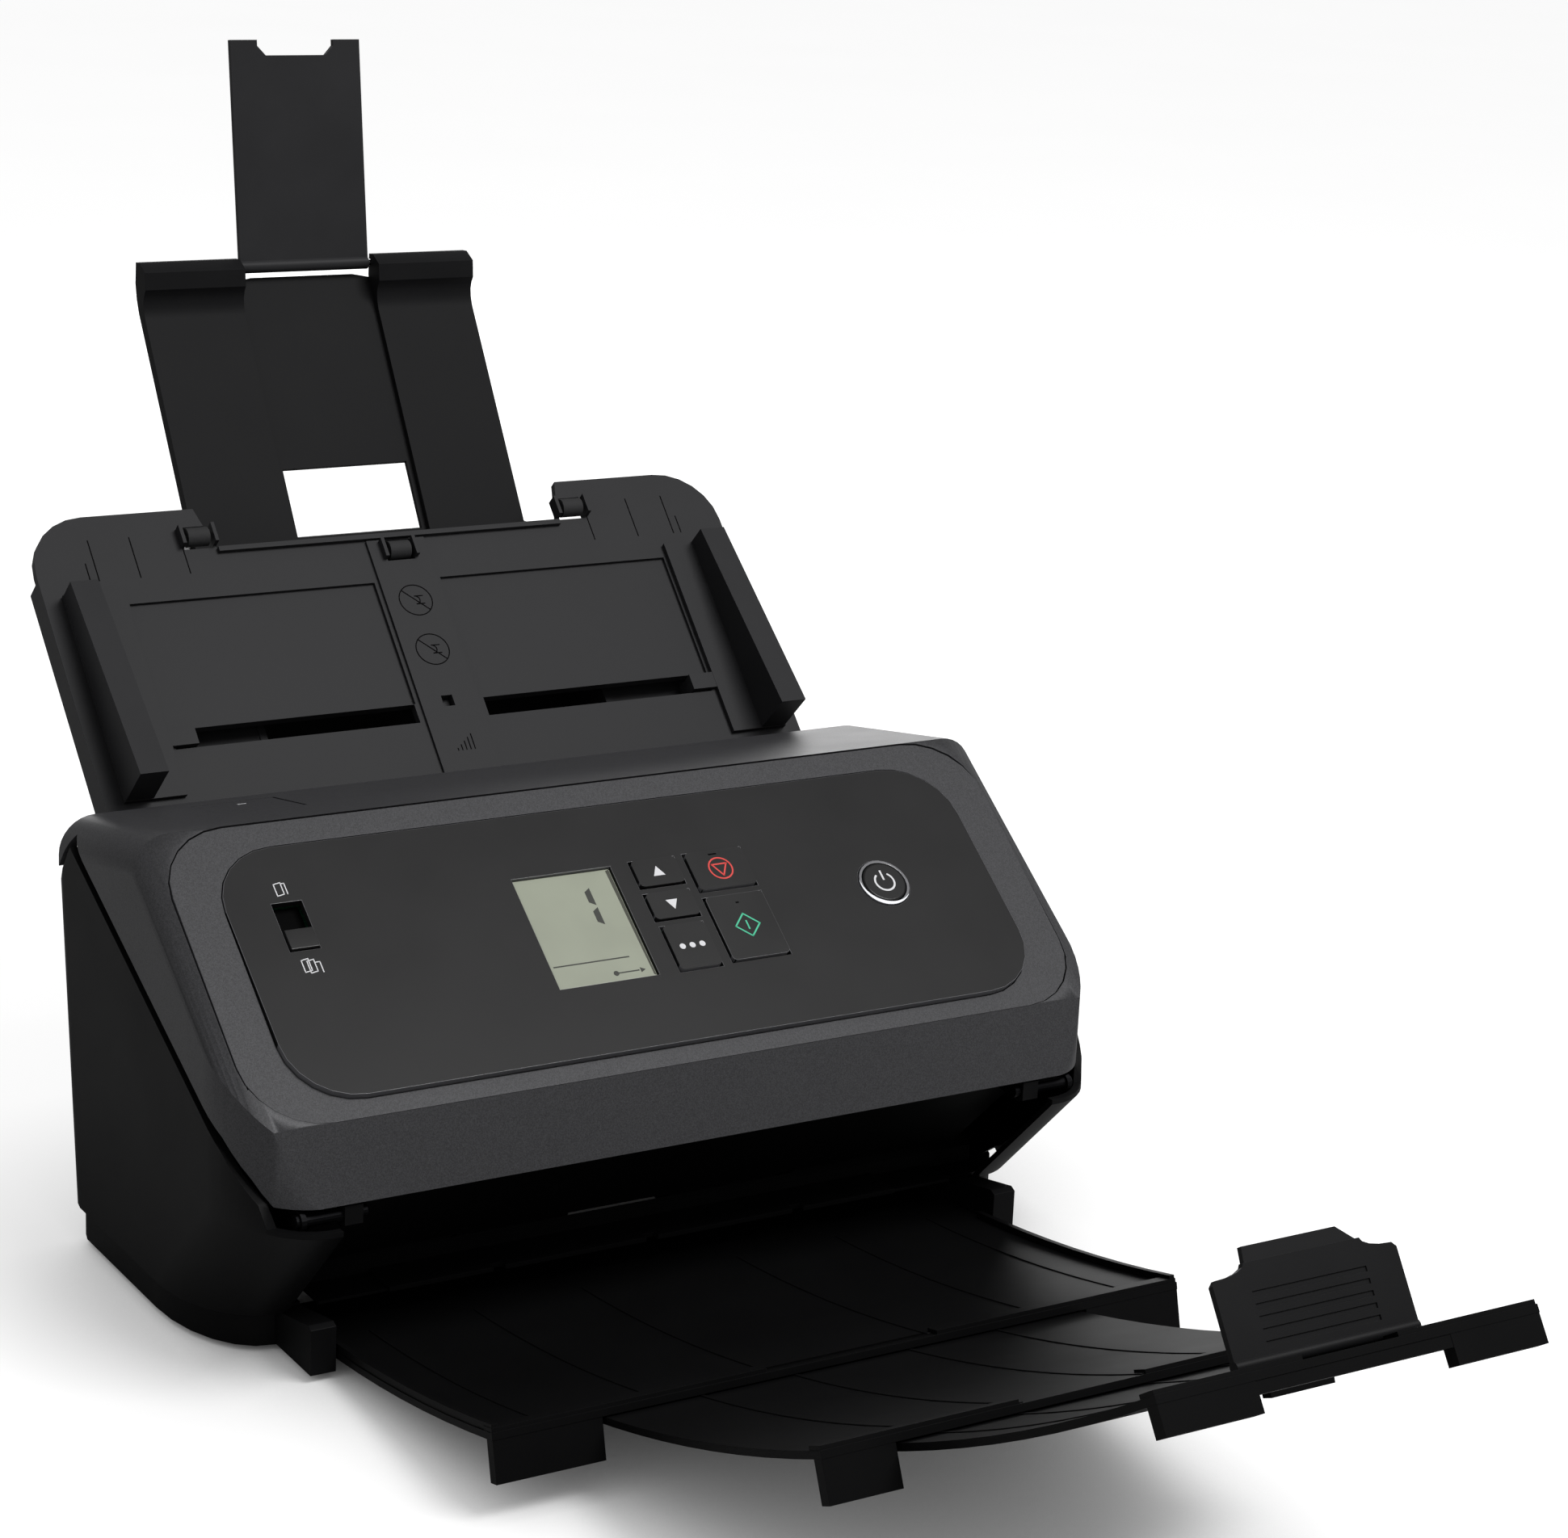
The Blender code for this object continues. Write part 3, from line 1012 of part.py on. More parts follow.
def main():
    clear_scene()
    root = make_frame("scanner", None, (0.0, 0.0, 0.0))
    base = make_frame("base", root, (0.0, 0.0, 0.0))
    hinge = make_frame("front_unit_hinge", root, (0.0, HINGE_Y, HINGE_Z))
    front = make_frame("front_unit", hinge, (0.0, -HINGE_Y, -HINGE_Z))
    panel_plane = make_frame("panel_plane", front, (0.0, PANEL_Y, PANEL_Z), PANEL_TILT)
    slope_middle = (0.0, (CREST_Y + CREASE_Y) / 2, (CREST_Z + CREASE_Z) / 2)
    bezel_plane = make_frame("bezel_plane", front, slope_middle, BEZEL_TILT)
    top_tilt = math.atan2(TOP_REAR_Z - CREST_Z, TOP_REAR_Y - CREST_Y)
    lever_z = CREST_Z + (LEVER_Y - CREST_Y) * math.tan(top_tilt)
    top_plane = make_frame("top_plane", front, (0.0, LEVER_Y, lever_z), top_tilt)
    make_main_cover(base)
    make_lower_case(base)
    make_feet(base)
    make_main_frame(base)
    make_side_plates(base)
    make_exit_guide(base)
    make_scan_unit("lower_sensor", "lower_glass", base, 1)
    make_driven_rollers(base)
    make_drive_train(base)
    make_belt(base)
    make_rear_electrics(base)
    make_hinge_pins(base)
    cover = make_front_cover(front)
    bezel = make_bezel(front, bezel_plane, cover)
    make_panel(panel_plane, bezel)
    make_keys(panel_plane)
    make_lever(top_plane, cover)
    make_upper_frame(front)
    make_scan_unit("upper_sensor", "upper_glass", front, -1)
    make_idlers(front)
    feed_plane = make_frame("feed_plane", base, (0.0, FEED_Y, FEED_Z), FEED_TILT)
    ext_plane = make_frame("extension_plane", base, (0.0, EXT_Y, EXT_Z), EXT_TILT)
    blade_plane = make_frame("flip_support_hinge", ext_plane, (0.0, BLADE_PIVOT - 0.0020, 0.0014),
                             BLADE_TILT - EXT_TILT)
    make_feed_tray(feed_plane)
    make_tray_rollers(feed_plane)
    make_side_guides(feed_plane)
    make_guide_pinion(feed_plane)
    make_tray_housing(base)
    make_extension(ext_plane)
    make_blade(blade_plane, ext_plane)
    centre = (0.0, CURVE_Y, CURVE_Z)
    curl = make_frame("tray_curl_centre", root, centre)
    make_trays(((base, (0.0, 0.0, 0.0)), (curl, centre), (curl, centre)))
    pivot = curve_point(STOPPER_PIVOT_Y, tray_radius(2) - 0.0020)
    lean = math.asin((CURVE_Y - STOPPER_PIVOT_Y) / CURVE_RADIUS)
    stopper_plane = make_frame("stopper_hinge", base, (0.0, *pivot), math.pi / 2 - lean)
    make_stopper(stopper_plane)
    centre_in_depth(root)


main()
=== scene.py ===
"""Looks of a desktop sheet-fed document scanner, laid out as an add-on with one operator for each piece."""
import json
import math

import bmesh
import bpy
from bpy.props import FloatProperty, FloatVectorProperty, IntProperty, PointerProperty
from mathutils import Matrix, Vector


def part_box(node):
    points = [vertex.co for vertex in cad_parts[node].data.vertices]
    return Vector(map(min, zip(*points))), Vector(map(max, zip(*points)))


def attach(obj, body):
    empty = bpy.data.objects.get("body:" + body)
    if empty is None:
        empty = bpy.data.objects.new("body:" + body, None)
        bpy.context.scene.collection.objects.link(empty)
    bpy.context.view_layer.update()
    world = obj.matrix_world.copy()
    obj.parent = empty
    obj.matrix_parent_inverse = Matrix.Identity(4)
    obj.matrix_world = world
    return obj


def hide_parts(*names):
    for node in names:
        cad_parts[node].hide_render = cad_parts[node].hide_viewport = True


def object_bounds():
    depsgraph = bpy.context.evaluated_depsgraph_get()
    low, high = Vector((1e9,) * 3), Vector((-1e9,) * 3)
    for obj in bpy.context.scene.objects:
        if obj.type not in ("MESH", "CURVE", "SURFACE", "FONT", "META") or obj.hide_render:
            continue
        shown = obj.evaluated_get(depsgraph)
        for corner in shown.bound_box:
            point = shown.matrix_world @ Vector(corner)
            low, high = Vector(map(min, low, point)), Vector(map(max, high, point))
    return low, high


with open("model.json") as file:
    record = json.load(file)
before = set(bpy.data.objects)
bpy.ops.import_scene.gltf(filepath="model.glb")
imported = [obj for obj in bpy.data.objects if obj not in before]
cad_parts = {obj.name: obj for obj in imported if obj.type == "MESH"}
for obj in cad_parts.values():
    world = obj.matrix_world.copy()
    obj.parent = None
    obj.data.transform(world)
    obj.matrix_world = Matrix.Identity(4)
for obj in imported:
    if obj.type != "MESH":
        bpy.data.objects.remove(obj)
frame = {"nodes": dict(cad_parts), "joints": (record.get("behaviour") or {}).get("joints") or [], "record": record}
CAD_LOW, CAD_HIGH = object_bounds()

bl_info = {
    "name": "Sheet-fed scanner looks",
    "version": (1, 0, 0),
    "blender": (4, 5, 0),
    "location": "View3D > Sidebar > Scanner",
    "description": "Builds the visible surfaces and finishes of a desktop document scanner",
    "category": "Object",
}

MICRON = 0.000001
JOINTS = {joint["name"]: joint for joint in frame["joints"]}

# Eject trays: each lies one step below the last, and its runners stand at shares of its half width.
TRAY_STEP = 0.0026
RUNNER_HEIGHT = 0.00035
RUNNER_SINK = 0.0003
RUNNER_HALF = 0.0006
RUNNER_PLACES = ((0.24, 0.56, 0.86), (0.24, 0.62), (0.36, 0.78))

# Shading: edges sharper than this are rounded and stay crisp; the front cover's corners blend instead.
SHARP_ANGLE = 32.0
BLEND_ANGLE = 50.0
FLAT_ANGLE = 0.6

# A face on the panel counts as flat, not as rim, when its normal's share straight out is over this; rim faces get
# a painted highlight.
RIM_FLAT = 0.985

# Edge radii of the pieces that don't follow the two general ones.
PANEL_EDGE = 0.0009
POWER_EDGE = 0.0007
TRAY_EDGE = 0.0005
LEAF_EDGE = 0.0004
GUIDE_EDGE = 0.0003
ROLLER_EDGE = 0.0002
GEAR_EDGE = 0.0001
RUNNER_EDGE = 0.00012

# Key caps and their marks.
KEY_CORNER = 0.0010
KEY_EDGE = 0.0004
ARROW_HALF = 0.0020
ARROW_BASE = 0.0016
DOT_RADIUS = 0.0010
DOT_GAP = 0.0034
DOT_SIDES = 14
STOP_RADIUS = 0.0039
START_HALF = 0.0042
STOP_LAMP_Y = 0.0055
START_LAMP_Y = 0.0085

# Power button: stand-by mark and the bright part of the ring round it, a crescent of painted highlight that also
# glows.
STANDBY_RADIUS = 0.0033
STANDBY_OPENING = 70.0
CRESCENT_START = 165.0
CRESCENT_STEPS = 26
CRESCENT_STEP_ANGLE = 6.0
CRESCENT_WIDTH = 0.0012

# Feed switch: the floor seen through its window, and the sheets printed above and below it.
WINDOW_HALF = 0.0049
WINDOW_SPAN = (0.0060, 0.0243)
WINDOW_FLOOR = (-0.0046, -0.0042)
SHEET_WIDTH = 0.0022
SHEET_HEIGHT = 0.0042
SHEET_SLANT = 0.0004
SHEET_STEP = (0.0016, -0.0005)
LEAF_LINE_SHARE = 0.62

# Feed tray: lines at the sheet widths, and the signs down the middle bar.
SHEET_LINES = ((0.0740, 0.0150), (0.0910, 0.0150), (0.1050, 0.0150), (0.10795, 0.0065))
TRAY_LINE = 0.00035
TRAY_MARK_HEIGHT = 0.00010
SIGN_RADIUS = 0.0058
SIGN_SLASH = 0.0040
SIGN_CLIP = 0.0015
SIGN_CLIP_END = 0.0028
SIGN_PLACES = (-0.0180, -0.0370)
STEPS_PLACE = -0.0720

# Paper stopper's grooves.
GROOVE_START = 0.0030
GROOVE_PITCH = 0.0029
GROOVE_WIDTH = 0.0013
GROOVE_SHARE = 0.62
GROOVE_DEPTHS = (0.0005, 0.0020)

# Studio: the floor, where the camera aims from the front unit's hinge, and the softboxes.
FLOOR_SIZE = 12.0
FLOOR_DROP = 0.0002
FLOOR_SHADE_REACH = 0.12
AIM_AHEAD = 0.0345
AIM_HEIGHT = 0.1806
SENSOR_WIDTH = 36.0
SOFTBOXES = (
    ("key_softbox", (0.65, -1.1, 2.1), 1.2, "key_power"),
    ("side_softbox", (-1.6, -0.6, 0.9), 0.9, "fill_power"),
    ("back_softbox", (0.9, 1.9, 0.55), 1.5, "back_power"),
)


# ---- sizes and colours a user would change ----
class ScannerFinishes(bpy.types.PropertyGroup):
    """Colours of the moulded parts and the markings."""

    shell: FloatVectorProperty(
        name="Shell", description="Side covers and case", subtype="COLOR", size=3,
        default=(0.0042, 0.0042, 0.0045), min=0.0, max=1.0)
    flake: FloatVectorProperty(
        name="Flake face", description="Front band and the ring round the panel", subtype="COLOR",
        size=3, default=(0.046, 0.046, 0.049), min=0.0, max=1.0)
    panel: FloatVectorProperty(
        name="Key panel", description="Smooth panel and key caps", subtype="COLOR", size=3,
        default=(0.0110, 0.0108, 0.0112), min=0.0, max=1.0)
    feed: FloatVectorProperty(
        name="Feed tray", description="Rear feed tray and its extension", subtype="COLOR", size=3,
        default=(0.021, 0.021, 0.0225), min=0.0, max=1.0)
    eject: FloatVectorProperty(
        name="Eject trays", description="Pull-out trays at the front", subtype="COLOR", size=3,
        default=(0.0032, 0.0032, 0.0034), min=0.0, max=1.0)
    screen: FloatVectorProperty(
        name="Screen", description="Unlit display film", subtype="COLOR", size=3,
        default=(0.27, 0.29, 0.225), min=0.0, max=1.0)
    ink: FloatVectorProperty(
        name="Printed marks", description="White marks on keys and panel", subtype="COLOR", size=3,
        default=(0.72, 0.72, 0.74), min=0.0, max=1.0)


class ScannerSizes(bpy.types.PropertyGroup):
    """Sizes of the finishing details."""

    edge_round: FloatProperty(
        name="Edge round", description="Radius on moulded edges", default=0.0006, min=0.0001,
        max=0.002, unit="LENGTH")
    fine_round: FloatProperty(
        name="Fine round", description="Radius on keys and small parts", default=0.0003, min=0.00005,
        max=0.001, unit="LENGTH")
    mark_height: FloatProperty(
        name="Mark height", description="How far a printed mark stands up", default=0.00006,
        min=0.00001, max=0.0005, unit="LENGTH")
    line_width: FloatProperty(
        name="Line width", description="Width of the lines in the marks", default=0.0005,
        min=0.0001, max=0.002, unit="LENGTH")
    tray_radius: FloatProperty(
        name="Tray curve", description="Radius of the top eject tray's upper face", default=0.6437,
        min=0.1, max=2.0, unit="LENGTH")
    grip_count: IntProperty(
        name="Grip grooves", description="Grooves across the paper stopper", default=5, min=1, max=12)


class ScannerStage(bpy.types.PropertyGroup):
    """Camera and studio lights."""

    distance: FloatProperty(
        name="Distance", description="Camera to the aim point", default=1.0208, min=0.2, max=10.0,
        unit="LENGTH")
    azimuth: FloatProperty(
        name="Azimuth", description="Camera's turn to the left of the front",
        default=math.radians(31.9), subtype="ANGLE")
    elevation: FloatProperty(
        name="Elevation", description="Camera's height angle", default=math.radians(15.7),
        subtype="ANGLE")
    roll: FloatProperty(
        name="Roll", description="Camera's tilt about its own line of sight",
        default=math.radians(2.5), subtype="ANGLE")
    lens: FloatProperty(
        name="Lens", description="Focal length in millimetres", default=84.27, min=10.0, max=300.0)
    key_power: FloatProperty(
        name="Key light", description="Power of the main softbox", default=44.0, min=0.0,
        max=1000.0, unit="POWER")
    fill_power: FloatProperty(
        name="Fill light", description="Power of the side softbox", default=0.8, min=0.0,
        max=1000.0, unit="POWER")
    back_power: FloatProperty(
        name="Back light", description="Power of the softbox behind the scanner", default=14.0,
        min=0.0, max=1000.0, unit="POWER")
    floor_glow: FloatProperty(
        name="Floor glow", description="How far the backdrop is lifted towards white", default=0.80,
        min=0.0, max=1.0)
    room_light: FloatProperty(
        name="Room light", description="Strength of the even light all round", default=0.32,
        min=0.0, max=10.0)


def finishes():
    return bpy.context.scene.scanner_finishes


def sizes():
    return bpy.context.scene.scanner_sizes


def stage_settings():
    return bpy.context.scene.scanner_stage


# ---- places taken from the frame ----
def slope_of(joint, flip=1.0):
    """Tilt about X of the plane whose outward normal is the joint's axis times flip."""
    axis = Vector(JOINTS[joint]["axis"]) * flip
    return math.atan2(-axis.y, axis.z)


def middle(node):
    low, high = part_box(node)
    return (low + high) / 2


def plane_at(place, tilt):
    return Matrix.Translation(place) @ Matrix.Rotation(tilt, 4, "X")


def slab_plane(node, tilt):
    """Plane on the outer face of a flat slab lying on a slope, with the slab's width and length."""
    low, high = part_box(node)
    size = high - low
    c, s = math.cos(tilt), math.sin(tilt)
    spread = c * c - s * s
    length = (size.y * c - size.z * s) / spread
    thick = (size.z * c - size.y * s) / spread
    plane = plane_at((low + high) / 2, tilt) @ Matrix.Translation((0.0, 0.0, thick / 2))
    return plane, size.x, length


def facing_up(node):
    """Tilt about X of the node's largest upward face."""
    faces = [face for face in frame["nodes"][node].data.polygons if face.normal.z > 0.9]
    normal = max(faces, key=lambda face: face.area).normal
    return math.atan2(-normal.y, normal.z)


PANEL_TILT = slope_of("up_key_press", -1.0)
FEED_TILT = slope_of("guide_pinion_spin")
CURL_CENTRE = Vector(JOINTS["eject_extension_curl"]["pos_m"])


def feed_plane():
    """The feed tray's face: its origin is 2 mm below the middle roller, which stands 0.4 mm out."""
    return plane_at(middle("tray_roller_centre"), FEED_TILT) @ Matrix.Translation((0.0, -0.0020, -0.0004))


# ---- modelling steps ----
def select_only(*pieces):
    bpy.ops.object.select_all(action="DESELECT")
    for piece in pieces:
        piece.select_set(True)
    bpy.context.view_layer.objects.active = pieces[0]


def edit(piece):
    select_only(piece)
    bpy.ops.object.mode_set(mode="EDIT")
    bpy.ops.mesh.select_all(action="SELECT")


def leave_edit():
    bpy.ops.object.mode_set(mode="OBJECT")


def name_piece(piece, name):
    piece.name = name
    piece.data.name = name
    return piece


def copy_of(node, name):
    """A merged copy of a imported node, ready to be finished."""
    source = frame["nodes"][node]
    select_only(source)
    bpy.ops.object.duplicate()
    piece = bpy.context.active_object
    for key in list(piece.keys()):
        del piece[key]
    piece.parent = None
    piece.data.materials.clear()
    edit(piece)
    bpy.ops.mesh.remove_doubles(threshold=5 * MICRON)
    bpy.ops.mesh.dissolve_limited(angle_limit=math.radians(FLAT_ANGLE))
    bpy.ops.mesh.normals_make_consistent(inside=False)
    leave_edit()
    if piece.data.has_custom_normals:
        bpy.ops.mesh.customdata_custom_splitnormals_clear()
    return name_piece(piece, name)


def round_edges(piece, width, segments=2, angle=SHARP_ANGLE):
    """Bevel the sharp edges and shade the rest smooth."""
    select_only(piece)
    bpy.ops.object.modifier_add(type="BEVEL")
    bevel = piece.modifiers[-1]
    bevel.width = width
    bevel.segments = segments
    bevel.limit_method = "ANGLE"
    bevel.angle_limit = math.radians(angle)
    bevel.use_clamp_overlap = True
    bevel.harden_normals = False
    bpy.ops.object.modifier_apply(modifier=bevel.name)
    bpy.ops.object.shade_smooth_by_angle(angle=math.radians(angle))
    bpy.ops.object.modifier_add(type="WEIGHTED_NORMAL")
    weighted = piece.modifiers[-1]
    weighted.keep_sharp = True
    bpy.ops.object.modifier_apply(modifier=weighted.name)
    return piece


def round_corners(piece, radius):
    """Round the corners that run along the panel's outward direction."""
    outward = plane_at((0.0, 0.0, 0.0), PANEL_TILT).to_3x3().col[2]
    edit(piece)
    bpy.ops.mesh.select_all(action="DESELECT")
    shape = bmesh.from_edit_mesh(piece.data)
    for edge in shape.edges:
        along = (edge.verts[0].co - edge.verts[1].co).normalized()
        edge.select = abs(along.dot(outward)) > 0.99
    bmesh.update_edit_mesh(piece.data)
    bpy.ops.mesh.bevel(offset=radius, segments=4, affect="EDGES", clamp_overlap=True)
    leave_edit()


def settle(piece):
    """Put the piece's place into its mesh, so its object sits at the origin."""
    select_only(piece)
    bpy.ops.object.transform_apply(location=True, rotation=True, scale=True)
    return piece


def put(piece, plane):
    """Move a piece drawn on the ground plane on to a sloping one."""
    piece.matrix_world = plane @ piece.matrix_world
    bpy.context.view_layer.update()
    return settle(piece)


def join_pieces(pieces, name):
    select_only(*pieces)
    if len(pieces) > 1:
        bpy.ops.object.join()
    return name_piece(bpy.context.active_object, name)


def bar(x0, x1, y0, y1, z0, z1):
    """A rectangular bar between two corners."""
    bpy.ops.object.select_all(action="DESELECT")
    bpy.ops.mesh.primitive_cube_add(size=1.0, location=((x0 + x1) / 2, (y0 + y1) / 2, (z0 + z1) / 2))
    piece = bpy.context.active_object
    piece.scale = (abs(x1 - x0), abs(y1 - y0), abs(z1 - z0))
    return settle(piece)


def stroke(start, end, width, height):
    """A flat line between two points of the ground plane."""
    dx, dy = end[0] - start[0], end[1] - start[1]
    bpy.ops.object.select_all(action="DESELECT")
    bpy.ops.mesh.primitive_cube_add(
        size=1.0, location=((start[0] + end[0]) / 2, (start[1] + end[1]) / 2, height / 2),
        rotation=(0.0, 0.0, math.atan2(dy, dx)))
    piece = bpy.context.active_object
    piece.scale = (math.hypot(dx, dy) + width, width, height)
    return settle(piece)


def outline(points, width, height, closed=True):
    ends = points[1:] + points[:1] if closed else points[1:]
    return [stroke(a, b, width, height) for a, b in zip(points, ends)]


def plate(points, height):
    """A flat shape with any outline, raised to a height."""
    bpy.ops.object.select_all(action="DESELECT")
    bpy.ops.mesh.primitive_circle_add(vertices=len(points), radius=1.0, fill_type="NGON")
    piece = bpy.context.active_object
    for vertex, point in zip(piece.data.vertices, points):
        vertex.co = (point[0], point[1], 0.0)
    edit(piece)
    bpy.ops.mesh.extrude_region_move(TRANSFORM_OT_translate={"value": (0.0, 0.0, height)})
    bpy.ops.mesh.select_all(action="SELECT")
    bpy.ops.mesh.normals_make_consistent(inside=False)
    leave_edit()
    return piece


def spun(corners, turned, centre, axis, angle, steps):
    """Sweep a flat outline round an axis into a closed solid."""
    bpy.ops.object.select_all(action="DESELECT")
    bpy.ops.mesh.primitive_plane_add(size=1.0)
    piece = bpy.context.active_object
    piece.data.clear_geometry()
    flat = bmesh.new()
    flat.faces.new([flat.verts.new(corner) for corner in corners])
    flat.transform(turned)
    flat.to_mesh(piece.data)
    flat.free()
    edit(piece)
    bpy.ops.mesh.spin(steps=steps, angle=angle, center=centre, axis=axis)
    bpy.ops.mesh.select_all(action="SELECT")
    bpy.ops.mesh.remove_doubles(threshold=MICRON)
    if angle >= math.tau:
        bpy.ops.mesh.select_all(action="DESELECT")
        bpy.ops.mesh.select_interior_faces()
        bpy.ops.mesh.delete(type="FACE")
        bpy.ops.mesh.select_all(action="SELECT")
    bpy.ops.mesh.normals_make_consistent(inside=False)
    leave_edit()
    return piece


def ring(radius, width, height, steps=40, start=0.0, sweep=360.0):
    """A flat ring, or the part of one that runs clockwise from the start."""
    corners = [(radius + side * width / 2, 0.0, z)
               for side, z in ((-1, 0.0), (1, 0.0), (1, height), (-1, height))]
    turned = Matrix.Rotation(math.radians(start), 4, "Z")
    return spun(corners, turned, (0.0, 0.0, 0.0), (0.0, 0.0, 1.0), math.radians(sweep), steps)


def disc_points(x, y, radius, sides):
    """Corners of a regular shape with many sides, round a point."""
    turns = [math.tau * side / sides for side in range(sides)]
    return [(x + radius * math.cos(turn), y + radius * math.sin(turn)) for turn in turns]


def curved_bar(x0, x1, radius0, radius1, turn0, turn1, steps=16):
    """A bar bent round the eject trays' far centre; turns are measured back from straight down."""
    corners = [CURL_CENTRE + Vector((x, 0.0, -radius))
               for x, radius in ((x0, radius0), (x1, radius0), (x1, radius1), (x0, radius1))]
    to_centre = Matrix.Translation(CURL_CENTRE)
    turned = to_centre @ Matrix.Rotation(turn0, 4, "X") @ to_centre.inverted()
    return spun(corners, turned, CURL_CENTRE, (-1.0, 0.0, 0.0), turn1 - turn0, steps)


def carve(piece, cutters):
    """Cut grooves with helper bars, then remove the bars."""
    tool = join_pieces(cutters, f"{piece.name}_grooves")
    select_only(piece)
    bpy.ops.object.modifier_add(type="BOOLEAN")
    groove = piece.modifiers[-1]
    groove.operation = "DIFFERENCE"
    groove.solver = "EXACT"
    groove.object = tool
    bpy.ops.object.modifier_apply(modifier=groove.name)
    select_only(tool)
    bpy.ops.object.delete()
    return piece


def finish_piece(piece, material, body, *nodes):
    """Give the piece its material, let it ride, and let it stand for its nodes."""
    piece.data.materials.clear()
    piece.data.materials.append(material)
    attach(piece, body)
    if nodes:
        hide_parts(*nodes)
    return piece


def paint_rim_highlight(piece):
    """Give the rounded rim of a piece on the panel the paler rim finish, a painted highlight along the rim."""
    outward = plane_at((0.0, 0.0, 0.0), PANEL_TILT).to_3x3().col[2]
    piece.data.materials.append(finish("rim"))
    for face in piece.data.polygons:
        if 0.0 < face.normal.dot(outward) < RIM_FLAT:
            face.material_index = 1


def body_of(node):
    for body, nodes in frame["record"]["behaviour"]["bodies"].items():
        if node in nodes:
            return body
    raise RuntimeError(f"{node} is in no body")


def finished_copy(node, name, material, width, segments=2, angle=SHARP_ANGLE):
    piece = round_edges(copy_of(node, name), width, segments, angle)
    return finish_piece(piece, material, body_of(node), node)


# ---- materials ----
def new_material(name):
    material = bpy.data.materials.new(name)
    material.use_nodes = True
    return material, material.node_tree.nodes, material.node_tree.links


def object_noise(nodes, links, scale, detail=2.0, stretch=(1.0, 1.0, 1.0)):
    place = nodes.new("ShaderNodeTexCoord")
    mapping = nodes.new("ShaderNodeMapping")
    mapping.inputs["Scale"].default_value = stretch
    noise = nodes.new("ShaderNodeTexNoise")
    noise.inputs["Scale"].default_value = scale
    noise.inputs["Detail"].default_value = detail
    links.new(place.outputs["Object"], mapping.inputs["Vector"])
    links.new(mapping.outputs["Vector"], noise.inputs["Vector"])
    return noise


def shade_between(nodes, links, fac, low, high):
    ramp = nodes.new("ShaderNodeValToRGB")
    ramp.color_ramp.elements[0].color = (*low, 1.0)
    ramp.color_ramp.elements[1].color = (*high, 1.0)
    ramp.color_ramp.elements[0].position = 0.3
    ramp.color_ramp.elements[1].position = 0.7
    links.new(fac, ramp.inputs["Fac"])
    return ramp


def roughness_between(nodes, links, fac, low, high, shader):
    span = nodes.new("ShaderNodeMapRange")
    span.inputs["To Min"].default_value = low
    span.inputs["To Max"].default_value = high
    links.new(fac, span.inputs["Value"])
    links.new(span.outputs["Result"], shader.inputs["Roughness"])


def bump_from(nodes, links, fac, depth, shader, strength=0.6):
    bump = nodes.new("ShaderNodeBump")
    bump.inputs["Strength"].default_value = strength
    bump.inputs["Distance"].default_value = depth
    links.new(fac, bump.inputs["Height"])
    links.new(bump.outputs["Normal"], shader.inputs["Normal"])


def tinted(colour, share):
    return tuple(channel * share for channel in colour)


def moulded_plastic(name, colour, rough, grain=2600.0, depth=0.00003, drift=0.10, gloss=0.5):
    """Spark-eroded plastic: fine grain in the bump, slow drift in colour and roughness."""
    material, nodes, links = new_material(name)
    shader = nodes["Principled BSDF"]
    fine = object_noise(nodes, links, grain, 3.0)
    slow = object_noise(nodes, links, 38.0, 4.0)
    low, high = tinted(colour, 1 - drift), tinted(colour, 1 + drift)
    ramp = shade_between(nodes, links, slow.outputs["Fac"], low, high)
    links.new(ramp.outputs["Color"], shader.inputs["Base Color"])
    roughness_between(nodes, links, slow.outputs["Fac"], rough - 0.05, rough + 0.05, shader)
    bump_from(nodes, links, fine.outputs["Fac"], depth, shader)
    shader.inputs["Specular IOR Level"].default_value = gloss
    return material


def smooth_plastic(name, colour, rough, gloss):
    """Polished moulding: finer, shallower grain and less drift than the eroded one."""
    return moulded_plastic(name, colour, rough, 3400.0, 0.00001, 0.06, gloss)


def flake_paint(name, colour, rough):
    """Dark paint with fine metal flakes: small cells, a few of them much brighter."""
    material, nodes, links = new_material(name)
    shader = nodes["Principled BSDF"]
    place = nodes.new("ShaderNodeTexCoord")
    cells = nodes.new("ShaderNodeTexVoronoi")
    cells.inputs["Scale"].default_value = 3600.0
    links.new(place.outputs["Object"], cells.inputs["Vector"])
    ramp = shade_between(nodes, links, cells.outputs["Color"], tinted(colour, 0.80), tinted(colour, 1.45))
    ramp.color_ramp.elements[0].position = 0.15
    ramp.color_ramp.elements[1].position = 1.0
    links.new(ramp.outputs["Color"], shader.inputs["Base Color"])
    slow = object_noise(nodes, links, 45.0)
    roughness_between(nodes, links, slow.outputs["Fac"], rough - 0.04, rough + 0.04, shader)
    bump_from(nodes, links, cells.outputs["Distance"], 0.00002, shader, 0.35)
    shader.inputs["Metallic"].default_value = 0.2
    shader.inputs["Specular IOR Level"].default_value = 0.25
    return material


